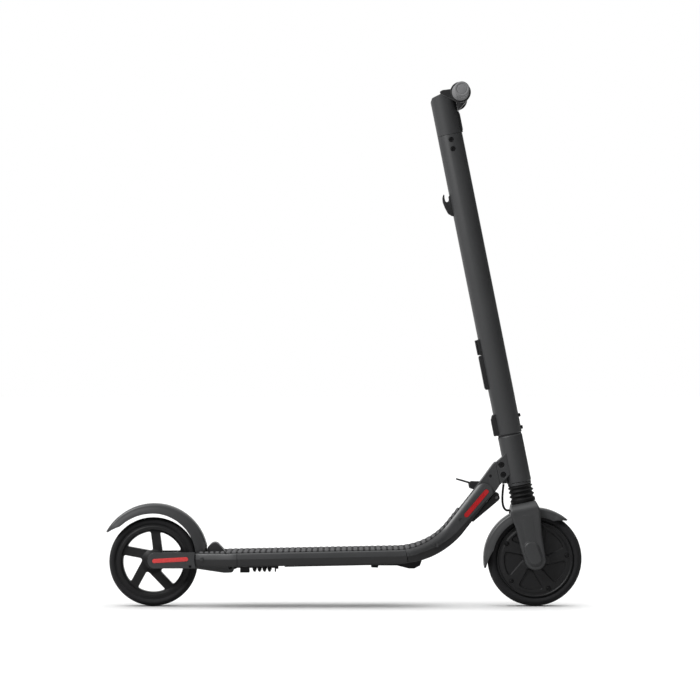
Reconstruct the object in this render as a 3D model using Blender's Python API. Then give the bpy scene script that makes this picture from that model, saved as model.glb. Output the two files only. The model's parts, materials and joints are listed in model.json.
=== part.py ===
"""Stand-on electric scooter with a folding stem, drawn piece by piece.

All sizes below are millimetres and become metres when a mesh is made. X points forward, Y to the
rider's left, Z up. The origin lies on the ground, below the middle of the scooter. Pieces of the
stem, head and fork are drawn in the steering frame: X forward of the steering axis, Z up along it,
with its origin where that axis meets the front axle.
"""

import math

import bmesh
import bpy
from mathutils import Matrix, Vector

MM = 0.001
GAP = 0.3  # clearance between pieces that touch
ARC_STEP = 26.0  # degrees between the points of a rounded corner

# Wheels
FRONT_TYRE_RADIUS = 101.6
FRONT_TYRE_WIDTH = 46.0
FRONT_RIM_RADIUS = 83.0
REAR_TYRE_RADIUS = 95.5
REAR_TYRE_WIDTH = 42.0
REAR_RIM_RADIUS = 80.0
WHEELBASE = 820.1
FRONT_AXLE_X = 409.5
REAR_AXLE_X = FRONT_AXLE_X - WHEELBASE
AXLE_RADIUS = 6.0
WHEEL_SIDES = 32
SPOKES = 5
SPOKE_WIDTH = 18.0
SPOKE_TURN = 13.0  # degrees from forward to the first spoke
HUB_RADIUS = 24.0
WINDOW_RADIUS = 65.0
COVER_SEAT = 17.0  # the motor's cover sits this far right of the middle
MOTOR_RADIUS = 64.0  # inside of the drum
MOTOR_DEPTH = 13.0
MOTOR_HUB_HALF = 28.0
STATOR_HALF = 11.0
POCKET_TURN = 43.0  # degrees from forward to the cover's first pocket
COVER_SCREW_CIRCLE = 69.0
COVER_SCREW_TURN = 7.0

# Handlebar, in the steering frame
BAR_RADIUS = 11.0
BAR_WALL = 2.2
BAR_FORWARD = 35.0
BAR_HEIGHT = 1008.0
BAR_HALF = 212.0
CLAMP_RADIUS = 20.5
CLAMP_HALF = 26.0
CLAMP_FOOT = 29.0  # the clamp reaches this far below the bar's axis
GRIP_CAP = 3.0
GRIP_END = BAR_HALF + GRIP_CAP
GRIP_LENGTH = 90.0
GRIP_INNER = GRIP_END - GRIP_LENGTH
GRIP_RADIUS = 16.0
GRIP_FLANGE = 18.4
LEVER_WIDTH = 13.0
LEVER_INNER = GRIP_INNER - LEVER_WIDTH
LEVER_RADIUS = 22.0
HOUSING_WIDTH = 15.0
HOUSING_INNER = LEVER_INNER - HOUSING_WIDTH
HOUSING_RADIUS = 18.0
PADDLE_REACH = 43.8
PADDLE_TURN = 0.0  # degrees that a thumb paddle points up from straight back

# Steering and stem, in the steering frame
RAKE = 11.3  # degrees that the steering axis leans back
STEM_RADIUS = 27.0
STEM_WALL = 3.5
HEAD_TUBE_RADIUS = 26.5
HEAD_TUBE_LOW = 168.0
HEAD_TUBE_HIGH = 271.0
STEM_LOW = 274.0
STEM_FLOOR = 300.0
STEM_HIGH = BAR_HEIGHT - 78.0
HEAD_HIGH = BAR_HEIGHT + 11.0
CLAMP_HIGH = BAR_HEIGHT + 16.8
SPIGOT_LENGTH = 50.0
HEAD_BOLT_RADIUS = 5.4
HEAD_BOLT_HEIGHTS = (STEM_HIGH - 31.6, STEM_HIGH - 11.4)
STUD_RADIUS = 4.0
STUD_HEIGHTS = (283.5, 310.0)
STEERER_RADIUS = 15.0
STEERER_BORE = 9.6
STEERER_FLANGE = 22.0
STEERER_FLANGE_THICK = 5.7
BEARING_RADIUS = 21.0
BEARING_HEIGHT = 8.0
HOOK_HEIGHT = 791.0  # the bottom of the bag hook's bend
HOOK_HALF = 7.0
PORT_LOW = 452.0
PORT_LENGTH = 34.0
FITTING_HALF = 12.5
CONNECTOR_LOW = 376.0
CONNECTOR_LENGTH = 75.0
CABLE_COVER_LENGTH = 46.0
CABLE_COVER_HALF = 15.0
LAMP_LENGTH = 42.0
LAMP_HALF = 9.0
BUTTON_RADIUS = 3.8
BUTTON_PLACE = (8.0, 15.5)  # forward and left, on top of the clamp
STEM_SIDES = 24
PIN_SIDES = 12
BAR_SIDES = 20

# Fork and front suspension, in the steering frame
FORK_HALF = 46.0
FORK_INNER = 33.0
CROWN_LOW = 111.0
CROWN_HIGH = 123.5
SLIDER_RADIUS = 9.0
SLIDER_HIGH = 240.0
FRONT_SPRING_RADIUS = 14.0
FRONT_SPRING_WIRE = 1.8
FRONT_SPRING_TURNS = 4.5
BELLOWS_BORE = 19.0
BELLOWS_RIB = 27.5
BELLOWS_GROOVE = 23.0
BELLOWS_COLLAR = 8.5
BELLOWS_RIBS = 3
FENDER_RADIUS = 110.0
FENDER_WALL = 2.5
FENDER_HALF = 31.0
FENDER_SKIRT = 19.0
FENDER_FRONT = 50.5  # degrees about the axle, from forward
FENDER_REAR = 190.0
CABLE_RADIUS = 2.0

# Fold
FOLD_BEHIND = 42.0  # fold axis behind the steering axis
FOLD_HEIGHT = 216.0  # fold axis up the steering axis
KNUCKLE_RADIUS = 4.8
KNUCKLE_HALF = 7.7
FOLD_PIN_RADIUS = 2.4
BLOCK_HALF = 21.0
SEAM_LOW = FOLD_HEIGHT - 44.5  # lower end of the seam between block and bracket
BOLT_POINTS = ((-30.6, FOLD_HEIGHT - 3.5), (-30.9, FOLD_HEIGHT - 25.1))
BOLT_RADIUS = 3.0
BOLT_HEAD = 6.0
TONGUE_HALF = 9.0
TONGUE_BACK = 36.0  # the tongue reaches this far behind the steering axis
LATCH_SLOT_HALF = 6.4
PEDAL_PIN_RADIUS = 1.8
LATCH_PIN_RADIUS = 2.5

# Deck and neck
ARM_LENGTH = 166.6  # from the arm's pivot back to the rear axle
ARM_PIVOT_X = REAR_AXLE_X + ARM_LENGTH
ARM_PIVOT_Z = 104.5
NECK_ANGLE = 51.8
NECK_DEPTH = 40.0
FOLD_PIN_DEPTH = 5.3  # fold axis below the neck's top line
BEND_RADIUS = 140.0
DECK_PITCH = 1.15
DECK_TOP = 119.0  # mat height at DECK_MARK
DECK_MARK = ARM_PIVOT_X - 8.0
DECK_HALF = 75.0
DECK_DEPTH = 31.8
DECK_REAR_SEAM = ARM_PIVOT_X + 15.0
FRONT_SEAM_PAST_BEND = 17.7  # the front seam's place, past the start of the bend
CREASE_DEPTH = 15.5
MAT_THICKNESS = 2.5
MAT_RIB = 0.8
MAT_PITCH = 12.0
NECK_HALF_LOW = 38.0
NECK_HALF_HIGH = 29.5
COVER_WALL = 3.0
COVER_END_BEFORE_FOLD = 62.9
COVER_END_RADIUS = 18.7
REFLECTOR_WIDTH = 9.9
REFLECTOR_PROUD = 0.4
REFLECTOR_DEEP = 1.4

# Kickstand
STAND_AHEAD = 15.0  # its pivot's place, forward of the deck's front seam
STAND_OUT = 52.0
STAND_PIVOT_Z = 84.0
STAND_LEAN = 15.0  # degrees that the leg swings outward
STAND_LEG = 83.0
STAND_LEG_RADIUS = 4.4
STAND_PIN_RADIUS = 3.0

# Rear arm and suspension
ARM_BOSS = 7.0
ARM_PIN_RADIUS = 5.0
ARM_GAP_RADIUS = 74.0
ARM_GAP = 2.9
ARM_LEG_INNER = 27.0
ARM_LEG_OUTER = 36.0
ARM_COVER_OUTER = 46.0
ARM_END_BEHIND_AXLE = 10.4
ARM_END_X = REAR_AXLE_X - ARM_END_BEHIND_AXLE
ARM_LOW = 84.0
ARM_HIGH = 116.0
CHANNEL_HALF = 37.3
CHANNEL_TOP = 112.2
REAR_HALF = 47.0
ROD_HEIGHT = 84.5
ROD_RADIUS = 3.0
SPRING_RADIUS = 11.5
SPRING_WIRE = 2.3
SPRING_TURNS = 4.5
SPRING_LENGTH = 53.5
SPRING_REAR = ARM_PIVOT_X + 40.5
SPRING_FRONT = SPRING_REAR + SPRING_LENGTH
FENDER_PIN_X = REAR_AXLE_X + 102.6
FENDER_PIN_Z = 113.0
FENDER_PIN_RADIUS = 3.0
REAR_FENDER_HALF = 31.0
REAR_FENDER_WALL = 2.6
REAR_FENDER_CROWN = 125.0
REAR_FENDER_DROP = 5.17
REAR_FENDER_SKIRT = 104.0  # radius of the skirt's lower edge
REAR_FENDER_TOP = 82.0  # degrees about the axle, from forward
REAR_FENDER_FRONT = 13.0
REAR_FENDER_TAIL = 147.0
BRAKE_PAD_CLEAR = 10.5
HUMP_REAR = ARM_PIVOT_X - 51.5
HUMP_LENGTH = 39.0
HUMP_HALF = 20.0

FRONT_AXLE = (FRONT_AXLE_X, FRONT_TYRE_RADIUS)
REAR_AXLE = (REAR_AXLE_X, REAR_TYRE_RADIUS)
ARM_PIVOT = (ARM_PIVOT_X, ARM_PIVOT_Z)
STEERING = Matrix.Translation((FRONT_AXLE[0] * MM, 0, FRONT_AXLE[1] * MM)) @ Matrix.Rotation(
    -math.radians(RAKE), 4, "Y"
)


def steering_to_world(forward, up):
    """The world x and z of a point given in the steering frame."""
    point = STEERING @ Vector((forward * MM, 0, up * MM))
    return point.x / MM, point.z / MM


# Looks


def make_look(name, colour, roughness, metallic=0.0):
    look = bpy.data.materials.new(name)
    look.use_nodes = True
    shader = look.node_tree.nodes["Principled BSDF"]
    shader.inputs["Base Color"].default_value = (*colour, 1.0)
    shader.inputs["Roughness"].default_value = roughness
    shader.inputs["Metallic"].default_value = metallic
    return look


def make_looks():
    return {
        "painted": make_look("graphite_paint", (0.055, 0.057, 0.06), 0.42, 0.3),
        "plastic": make_look("dark_plastic", (0.03, 0.03, 0.032), 0.55),
        "rubber": make_look("black_rubber", (0.012, 0.012, 0.013), 0.8),
        "tyre": make_look("tyre_rubber", (0.014, 0.014, 0.015), 0.85),
        "grip": make_look("grey_rubber", (0.19, 0.19, 0.2), 0.7),
        "steel": make_look("bare_steel", (0.4, 0.4, 0.41), 0.3, 1.0),
        "dark_steel": make_look("black_steel", (0.03, 0.03, 0.032), 0.4, 0.8),
        "reflector": make_look("red_reflector", (0.4, 0.015, 0.02), 0.3),
        "lens": make_look("dark_lens", (0.01, 0.01, 0.012), 0.1),
        "battery": make_look("battery_wrap", (0.02, 0.06, 0.12), 0.5),
    }


# Frames


class Frame:
    """An empty on a joint's axis, and the frame that the pieces it carries are drawn in."""

    def __init__(self, name, parent=None, pivot=(0, 0, 0), turn=0.0, lean=0.0, drawn=None):
        back = Matrix.Rotation(-math.radians(turn), 4, "Y")
        out = Matrix.Rotation(math.radians(lean), 4, "X")
        self.world = Matrix.Translation(Vector(pivot) * MM) @ back @ out
        self.drawn = drawn if drawn is not None else self.world
        self.empty = bpy.data.objects.new(name, None)
        self.empty.empty_display_size = 0.03
        bpy.context.scene.collection.objects.link(self.empty)
        if parent is None:
            self.empty.matrix_basis = self.world
        else:
            self.empty.parent = parent.empty
            self.empty.matrix_basis = parent.world.inverted() @ self.world

    def carry(self, piece):
        piece.parent = self.empty
        piece.matrix_basis = self.world.inverted() @ self.drawn


# Outlines and meshes


def arc(centre, radius, start, end, count):
    """Points of an arc, in degrees from the first axis, ends included."""
    points = []
    for number in range(count + 1):
        angle = math.radians(start + (end - start) * number / count)
        points.append((centre[0] + radius * math.cos(angle), centre[1] + radius * math.sin(angle)))
    return points


def rounded(corners):
    """A closed outline in which each corner (x, z, radius) becomes an arc."""
    points = []
    count = len(corners)
    for number in range(count):
        here = Vector(corners[number][:2])
        radius = corners[number][2]
        back = (Vector(corners[number - 1][:2]) - here).normalized()
        onward = (Vector(corners[(number + 1) % count][:2]) - here).normalized()
        half = back.angle(onward) / 2
        if radius <= 0 or half > math.radians(89.5):
            points.append(tuple(here))
            continue
        start = here + back * (radius / math.tan(half))
        centre = here + (back + onward).normalized() * (radius / math.sin(half))
        spread = math.pi - 2 * half
        steps = max(2, round(math.degrees(spread) / ARC_STEP))
        first = start - centre
        sign = 1 if back.x * onward.y - back.y * onward.x < 0 else -1
        for step in range(steps + 1):
            turn = Matrix.Rotation(sign * spread * step / steps, 2)
            points.append(tuple(centre + turn @ first))
    return points


def capsule(start, end, radius):
    """The outline of a straight slot with round ends."""
    along = Vector(end) - Vector(start)
    lean = math.degrees(math.atan2(along.y, along.x))
    return arc(start, radius, lean + 90, lean + 270, 5) + arc(end, radius, lean - 90, lean + 90, 5)


def loft(rings, endless=False):
    """A closed mesh through rings of points, capped at both ends unless it is endless."""
    mesh = bmesh.new()
    rows = [[mesh.verts.new(point) for point in ring] for ring in rings]
    pairs = list(zip(rows, rows[1:]))
    if endless:
        pairs.append((rows[-1], rows[0]))
    for one, other in pairs:
        for i in range(len(one)):
            j = (i + 1) % len(one)
            mesh.faces.new((one[i], one[j], other[j], other[i]))
    if not endless:
        mesh.faces.new(rows[0])
        mesh.faces.new(rows[-1][::-1])
    return mesh


def prism(outline, low, high, along="Y"):
    """An outline stretched along one axis, from low to high."""
    if along == "Y":
        return loft([[(x, side, z) for x, z in outline] for side in (low, high)])
    if along == "Z":
        return loft([[(x, y, side) for x, y in outline] for side in (low, high)])
    return loft([[(side, y, z) for y, z in outline] for side in (low, high)])


def box(low, high):
    outline = [(low[0], low[2]), (high[0], low[2]), (high[0], high[2]), (low[0], high[2])]
    return prism(outline, low[1], high[1])


def turned(profile, sides, axis="Y", centre=(0.0, 0.0, 0.0)):
    """A profile of (radius, place along the axis) turned about an axis.

    A profile that starts and ends on the axis is left open, any other one is a closed ring.
    """
    mesh = bmesh.new()
    columns = []
    for radius, place in profile:
        count = sides if radius > 1e-6 else 1
        column = []
        for number in range(count):
            angle = 2 * math.pi * number / sides
            a, b = radius * math.cos(angle), radius * math.sin(angle)
            point = {"X": (place, a, b), "Y": (a, place, b), "Z": (a, b, place)}[axis]
            column.append(mesh.verts.new(Vector(point) + Vector(centre)))
        columns.append(column if count == sides else column * sides)
    pairs = list(zip(columns, columns[1:]))
    if profile[0][0] > 1e-6:
        pairs.append((columns[-1], columns[0]))
    for one, other in pairs:
        for i in range(sides):
            j = (i + 1) % sides
            corners = list(dict.fromkeys((one[i], one[j], other[j], other[i])))
            if len(corners) > 2:
                mesh.faces.new(corners)
    return mesh


def rod(radius, low, high, axis="Y", centre=(0.0, 0.0, 0.0), sides=PIN_SIDES):
    """A plain round bar."""
    return turned([(0, low), (radius, low), (radius, high), (0, high)], sides, axis, centre)


def add_piece(name, mesh, look, frame, soft=0.0):
    """Makes one named object of a mesh drawn in millimetres, with its edges softened."""
    bmesh.ops.scale(mesh, vec=(MM, MM, MM), verts=mesh.verts)
    bmesh.ops.recalc_face_normals(mesh, faces=mesh.faces)
    data = bpy.data.meshes.new(name)
    mesh.to_mesh(data)
    mesh.free()
    data.shade_smooth()
    data.set_sharp_from_angle(angle=math.radians(35))
    piece = bpy.data.objects.new(name, data)
    bpy.context.scene.collection.objects.link(piece)
    if look is not None:
        data.materials.append(look)
    frame.carry(piece)
    if soft > 0:
        bevel = piece.modifiers.new("soft_edges", "BEVEL")
        bevel.width = soft * MM
        bevel.segments = 1
        bevel.limit_method = "ANGLE"
        bevel.angle_limit = math.radians(40)
    return piece


def shape_with(piece, mesh, operation, frame, within=None):
    """Cuts, joins or crops a piece by a hidden helper, which is first cropped to within if that is given."""
    helper = add_piece(f"{piece.name}_{len(piece.modifiers)}_{operation.lower()}", mesh, None, frame)
    helper.hide_render = True
    helper.display_type = "WIRE"
    if within is not None:
        crop(helper, within, frame)
    change = piece.modifiers.new(operation.lower(), "BOOLEAN")
    change.object = helper
    change.operation = operation
    change.solver = "EXACT"


def cut(piece, mesh, frame, within=None):
    shape_with(piece, mesh, "DIFFERENCE", frame, within)


def join(piece, mesh, frame):
    shape_with(piece, mesh, "UNION", frame)


def crop(piece, mesh, frame):
    shape_with(piece, mesh, "INTERSECT", frame)


# The line that the deck and the neck follow


class TopLine:
    """The top of the mat in side view: the deck, one bend, then the straight neck."""

    def __init__(self):
        self.pitch = math.radians(DECK_PITCH)
        self.steep = math.radians(NECK_ANGLE)
        self.fold = Vector(steering_to_world(-FOLD_BEHIND, FOLD_HEIGHT))
        self.neck_along = Vector((math.cos(self.steep), math.sin(self.steep)))
        self.neck_up = Vector((-self.neck_along.y, self.neck_along.x))
        start = Vector((DECK_MARK, DECK_TOP))
        along = Vector((math.cos(self.pitch), math.sin(self.pitch)))
        on_neck = self.fold + self.neck_up * FOLD_PIN_DEPTH
        apart = on_neck - start
        cross = along.x * self.neck_along.y - along.y * self.neck_along.x
        reach = (apart.x * self.neck_along.y - apart.y * self.neck_along.x) / cross
        tangent = BEND_RADIUS * math.tan((self.steep - self.pitch) / 2)
        self.start, self.along = start, along
        self.bend_start = reach - tangent
        self.bend_length = BEND_RADIUS * (self.steep - self.pitch)
        self.bend_end = self.bend_start + self.bend_length
        self.neck_base = start + along * reach + self.neck_along * tangent
        self.fold_place = self.bend_end + (on_neck - self.neck_base).dot(self.neck_along)
        self.front_seam = self.bend_start + FRONT_SEAM_PAST_BEND

    def at(self, place):
        """The point, and the slope in radians, at a place along the line from DECK_MARK."""
        if place <= self.bend_start:
            return self.start + self.along * place, self.pitch
        if place >= self.bend_end:
            return self.neck_base + self.neck_along * (place - self.bend_end), self.steep
        turn = self.pitch + (place - self.bend_start) / BEND_RADIUS
        foot = self.start + self.along * self.bend_start
        centre = foot + Vector((-math.sin(self.pitch), math.cos(self.pitch))) * BEND_RADIUS
        return centre + Vector((math.sin(turn), -math.cos(turn))) * BEND_RADIUS, turn

    def place_of_deck(self, x):
        return (x - self.start.x) / self.along.x

    def section(self, place, points):
        """Lays (y, height above the line) points across the line at a place."""
        point, slope = self.at(place)
        up = Vector((-math.sin(slope), math.cos(slope)))
        return [(point.x + up.x * h, y, point.y + up.y * h) for y, h in points]

    def on_neck(self, before_fold, depth):
        """The world x and z at a distance before the fold axis and a depth below the line."""
        point, _ = self.at(self.fold_place - before_fold)
        down = self.neck_up * -depth
        return point.x + down.x, point.y + down.y

    def underside(self, x):
        """The highest that a fitting below the deck may reach at an x, with its clearance."""
        return self.at(self.place_of_deck(x))[0].y - DECK_DEPTH - GAP

    def half_width(self, place):
        """Half the width over the sides: the deck's, then narrowing up the neck."""
        cover_end = self.fold_place - COVER_END_BEFORE_FOLD
        if place >= self.bend_end:
            share = min(1.0, (place - self.bend_end) / (cover_end - self.bend_end))
            return NECK_HALF_LOW + (NECK_HALF_HIGH - NECK_HALF_LOW) * share
        share = self.share_of_bend(place)
        ease = share * share * (3 - 2 * share)
        return DECK_HALF + (NECK_HALF_LOW - DECK_HALF) * ease

    def share_of_bend(self, place):
        """How far a place lies between the front seam and the end of the bend, from 0 to 1."""
        return min(1.0, max(0.0, (place - self.front_seam) / (self.bend_end - self.front_seam)))

    def depth(self, place):
        """From the line to the underside."""
        return DECK_DEPTH + (NECK_DEPTH - DECK_DEPTH) * self.share_of_bend(place)

    def places(self, start, end, step):
        count = max(1, math.ceil((end - start) / step))
        return [start + (end - start) * number / count for number in range(count + 1)]


def body_section(half, depth):
    """Deck section: flat top under the mat, sides with one crease, flat underside."""
    top = -MAT_THICKNESS - GAP
    right = [(half - 5, top), (half - 2.5, top - 2), (half, -CREASE_DEPTH), (half - 4.5, 2 - depth)]
    right.append((half - 7, -depth))
    return right + [(-y, h) for y, h in reversed(right)]


def side_strip(half, depth, inner, outer):
    """A strip along one side's facets, between two depths into the side, on the left."""
    side = [(half - 3, -2.6), (half, -CREASE_DEPTH), (half - 4.5, 1.5 - depth)]
    return [(y - outer, h) for y, h in side] + [(y - inner, h) for y, h in reversed(side)]


# Deck, neck and their covers


def make_deck_body(looks, line, root):
    """Aluminium extrusion with two open cells, between the two castings."""
    start = line.place_of_deck(DECK_REAR_SEAM) + GAP
    end = line.front_seam - GAP
    section = body_section(DECK_HALF, DECK_DEPTH)
    middle = (line.bend_start, (line.bend_start + end) / 2)
    shape = loft([line.section(place, section) for place in (start, *middle, end)])
    deck = add_piece("deck_body", shape, looks["painted"], root)
    for side in (-1, 1):
        cell = [(side * 20, -7), (side * 63, -7), (side * 65, -15), (side * 62, 4.5 - DECK_DEPTH)]
        cell.append((side * 20, 4.5 - DECK_DEPTH))
        cut(deck, loft([line.section(place, cell) for place in (start - 5, *middle, end + 5)]), root)
    cut(deck, spring_pocket(), root)
    return deck


def spring_pocket():
    """The recess under the deck that the rear spring and its rod lie in."""
    half = SPRING_RADIUS + 2.5
    low = (ARM_PIVOT_X + ARM_BOSS + 4, -half, ROD_HEIGHT - 40)
    return box(low, (SPRING_FRONT + 14, half, ROD_HEIGHT + SPRING_RADIUS + 2))


def make_deck_rear(looks, line, root):
    """Rear casting: a channel for the arm, with walls that narrow towards the wheel."""
    start = line.place_of_deck(ARM_PIVOT_X - ARM_GAP_RADIUS - 6)
    end = line.place_of_deck(DECK_REAR_SEAM) - GAP
    rings = []
    for place in line.places(start, end, 15):
        share = (place - start) / (end - start)
        ease = share * share * (3 - 2 * share)
        half = REAR_HALF + (DECK_HALF - REAR_HALF) * ease
        rings.append(line.section(place, body_section(half, DECK_DEPTH)))
    rear = add_piece("deck_rear", loft(rings), looks["painted"], root)
    wide = DECK_HALF + 10
    behind = arc(ARM_PIVOT, ARM_GAP_RADIUS, 140, 220, 16)
    far = ARM_PIVOT_X - 2 * ARM_GAP_RADIUS
    behind = [(far, behind[0][1])] + behind + [(far, behind[-1][1])]
    cut(rear, prism(behind, -wide, wide), root)
    front = ARM_PIVOT_X + ARM_BOSS + 4
    cut(rear, box((far, -CHANNEL_HALF, 0), (front, CHANNEL_HALF, CHANNEL_TOP)), root)
    slot_end = FENDER_PIN_X + 12
    cut(rear, box((far, -CHANNEL_HALF, 50), (slot_end, CHANNEL_HALF, 150)), root)
    cut(rear, spring_pocket(), root)
    join(rear, rod(ARM_PIN_RADIUS, -60, 60, centre=(ARM_PIVOT_X, 0, ARM_PIVOT_Z)), root)


def make_neck_frame(looks, line, root):
    """The bent neck, from the front end of the deck to the fold block."""
    start = line.front_seam + GAP
    end = line.fold_place - COVER_END_BEFORE_FOLD - 14
    rings = []
    frame_places = line.places(start, end, 13)
    for place in frame_places:
        half = line.half_width(place) - COVER_WALL - 1.6 * GAP
        rings.append(line.section(place, body_section(half, line.depth(place))))
    add_piece("neck_frame", loft(rings), looks["painted"], root)
    centre = Vector(line.on_neck(COVER_END_BEFORE_FOLD, COVER_END_RADIUS + 2.6))
    lean = NECK_ANGLE
    region = arc(centre, COVER_END_RADIUS, lean + 90, lean - 90, 8)
    for along, up in ((0, -90), (-420, -90), (-420, 90), (0, 90)):
        corner = centre + line.neck_along * along + line.neck_up * up
        region.append(tuple(corner))
    low_end = line.on_neck(124.5, 22.0)
    high_end = line.on_neck(59.0, 24.8)
    patch = capsule(low_end, high_end, REFLECTOR_WIDTH / 2)
    recess = capsule(low_end, high_end, REFLECTOR_WIDTH / 2 + GAP)
    cover_places = frame_places + [line.fold_place - COVER_END_BEFORE_FOLD + 26]
    strap_places = line.places(line.fold_place - 140, line.fold_place - COVER_END_BEFORE_FOLD + 20, 40)
    for side, name in ((-1, "right"), (1, "left")):

        def strip(places, inner, outer):
            rings = []
            for place in places:
                points = side_strip(line.half_width(place), line.depth(place), inner, outer)
                rings.append(line.section(place, [(side * y, h) for y, h in points]))
            return loft(rings)

        cover = add_piece(f"neck_cover_{name}", strip(cover_places, COVER_WALL, 0), looks["plastic"], root)
        crop(cover, prism(region, -90, 90), root)
        pocket = strip(strap_places, REFLECTOR_DEEP + GAP, -8)
        cut(cover, pocket, root, prism(recess, -90, 90))
        patch_strip = strip(strap_places, REFLECTOR_DEEP, -REFLECTOR_PROUD)
        reflector = add_piece(f"neck_reflector_{name}", patch_strip, looks["reflector"], root)
        crop(reflector, prism(patch, -90, 90), root)


def make_deck_mat(looks, line, root):
    """One ribbed rubber mat, over the deck and up the bend of the neck."""
    start = line.place_of_deck(DECK_MARK - 2)
    end = line.fold_place - 124
    count = round((end - start) / MAT_PITCH)
    pitch = (end - start) / count
    rings = []
    for number in range(count):
        for share, height in ((0.0, 0.0), (0.25, MAT_RIB), (0.75, MAT_RIB)):
            place = start + (number + share) * pitch
            rings.append((place, height))
    rings.append((end, 0.0))
    sections = []
    for place, height in rings:
        half = line.half_width(place) - 8
        points = [(half, -MAT_THICKNESS), (half - 0.8, height)]
        points += [(-y, h) for y, h in reversed(points)]
        sections.append(line.section(place, points))
    add_piece("deck_mat", loft(sections), looks["rubber"], root)


def make_neck_block(looks, line, root):
    """Fold block at the top of the neck, with the pedal's bracket and the slot for the latch."""
    tail = line.fold_place - COVER_END_BEFORE_FOLD - 14 + GAP
    before = line.fold_place - tail
    seam = GAP / 2
    seam_high = steering_to_world(-FOLD_BEHIND - seam, FOLD_HEIGHT)
    seam_low = steering_to_world(-FOLD_BEHIND - seam, SEAM_LOW)
    outline = [line.on_neck(before, 2.5), line.on_neck(KNUCKLE_RADIUS, 0.0), line.on_neck(0.5, 0.4)]
    outline += [seam_high, seam_low, line.on_neck(48.0, 40.5), line.on_neck(before, 39.0)]
    block = add_piece("neck_block", prism(outline, -BLOCK_HALF, BLOCK_HALF), looks["painted"], root)
    fold = line.fold
    axis = (fold.x, 0, fold.y)
    apart = KNUCKLE_HALF + GAP
    cut(block, rod(KNUCKLE_RADIUS + 0.5, -apart, apart, centre=axis, sides=32), root)
    for side in (-1, 1):
        low, high = sorted((side * (apart + 0.2), side * (BLOCK_HALF - 0.2)))
        join(block, rod(KNUCKLE_RADIUS, low, high, centre=axis, sides=16), root)
    join(block, rod(FOLD_PIN_RADIUS, 0.4 - BLOCK_HALF, BLOCK_HALF - 0.4, centre=axis), root)
    pedal = pedal_pivot(line)
    bracket = [line.on_neck(72.0, 2.0), line.on_neck(75.5, -8.0), line.on_neck(70.0, -14.5)]
    bracket += [line.on_neck(62.0, -14.0), line.on_neck(50.0, 2.0)]
    join(block, prism(bracket, -17, 17), root)
    cut(block, box((pedal[0] - 40, -13.3, pedal[1] - 6.5), (pedal[0] + 6, 13.3, pedal[1] + 30)), root)
    join(block, rod(PEDAL_PIN_RADIUS, -16.8, 16.8, centre=(pedal[0], 0, pedal[1])), root)
    hinge = latch_pivot(line)
    slot = [line.on_neck(54.0, 4.5), line.on_neck(17.0, 4.5)]
    slot.append(steering_to_world(-FOLD_BEHIND + 3, FOLD_HEIGHT - 12))
    slot.append(steering_to_world(-FOLD_BEHIND + 3, FOLD_HEIGHT - 31))
    slot.append(line.on_neck(54.0, 30.0))
    cut(block, prism(slot, -LATCH_SLOT_HALF, LATCH_SLOT_HALF), root)
    join(block, rod(LATCH_PIN_RADIUS, -20.5, 20.5, centre=(hinge[0], 0, hinge[1])), root)


def pedal_pivot(line):
    return line.on_neck(66.0, -9.5)


def latch_pivot(line):
    return line.on_neck(29.5, 14.2)


def make_fold_pedal(looks, line, root):
    """Foot pedal that frees the stem, on its own pivot above the neck."""
    pivot = pedal_pivot(line)
    frame = Frame("fold_pedal_axis", root, (pivot[0], 0, pivot[1]))
    plate = [(-33.2, 12.6), (-32.7, 9.2), (-6, 1.6), (-3.6, -2.2), (0, -3.9), (3.6, -1.5)]
    plate += [(3.2, 2.4), (0, 3.9), (-6, 4.8), (-12, 7)]
    pedal = add_piece("fold_pedal", prism(plate, -12.8, 12.8), looks["dark_steel"], frame)
    cut(pedal, rod(PEDAL_PIN_RADIUS + GAP, -40, 40), frame)
    return frame


def make_latch_hook(looks, line, root):
    """Latch inside the fold block, whose nose reaches into the stem's bracket."""
    pivot = latch_pivot(line)
    frame = Frame("latch_hook_axis", root, (pivot[0], 0, pivot[1]))
    hook = [(-12, -9, 2), (-2, -8, 2), (8, -7.5, 1), (13.3, -5.2, 0.8), (13.0, -1.5, 0.8)]
    hook += [(8, 1.0, 1), (1.5, 6.2, 3), (-6, 5, 3)]
    latch = add_piece("latch_hook", prism(rounded(hook), -6, 6), looks["steel"], frame)
    cut(latch, rod(LATCH_PIN_RADIUS + GAP, -40, 40), frame)
    return frame


def make_under_neck(looks, line, root):
    """Electronics housing below the neck, and the flat cover below the deck."""
    low = [line.on_neck(129.0, 40.6), line.on_neck(49.0, 41.0), line.on_neck(45.0, 47.5)]
    low += [line.on_neck(52.0, 57.0), line.on_neck(58.0, 57.5), line.on_neck(126.5, 42.8)]
    cover = add_piece("controller_cover", prism(low, -19, 19), looks["plastic"], root, 1.5)
    screw = line.on_neck(55.0, 50.0)
    for side in (-1, 1):
        centre = (screw[0], 0, screw[1])
        cut(cover, rod(4.2, side * 17.5, side * 25, centre=centre), root)
    start = line.place_of_deck(SPRING_FRONT + 22)
    end = line.front_seam - 30
    top = -DECK_DEPTH - GAP
    section = [(62, top), (60, top - 2), (-60, top - 2), (-62, top)]
    plate = loft([line.section(start, section), line.section(end, section)])
    add_piece("bottom_cover", plate, looks["plastic"], root)


def make_rear_hump(looks, line, root):
    """Low moulded cap on the deck, in front of the rear fender."""
    back, front = HUMP_REAR, HUMP_REAR + HUMP_LENGTH
    floor, front_floor = (line.underside(x) + DECK_DEPTH - MAT_THICKNESS + GAP for x in (back, front))
    outline = [(back, floor), (back + 2, floor + 8), (back + 7.5, floor + 16.5), (back + 14.5, floor + 21.3)]
    outline += [(back + 20, floor + 21.6), (back + 26.5, floor + 18), (back + 32.5, floor + 11)]
    outline += [(front, front_floor + 1.6), (front, front_floor)]
    add_piece("rear_hump", prism(outline, -HUMP_HALF, HUMP_HALF), looks["plastic"], root, 1.2)


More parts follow.
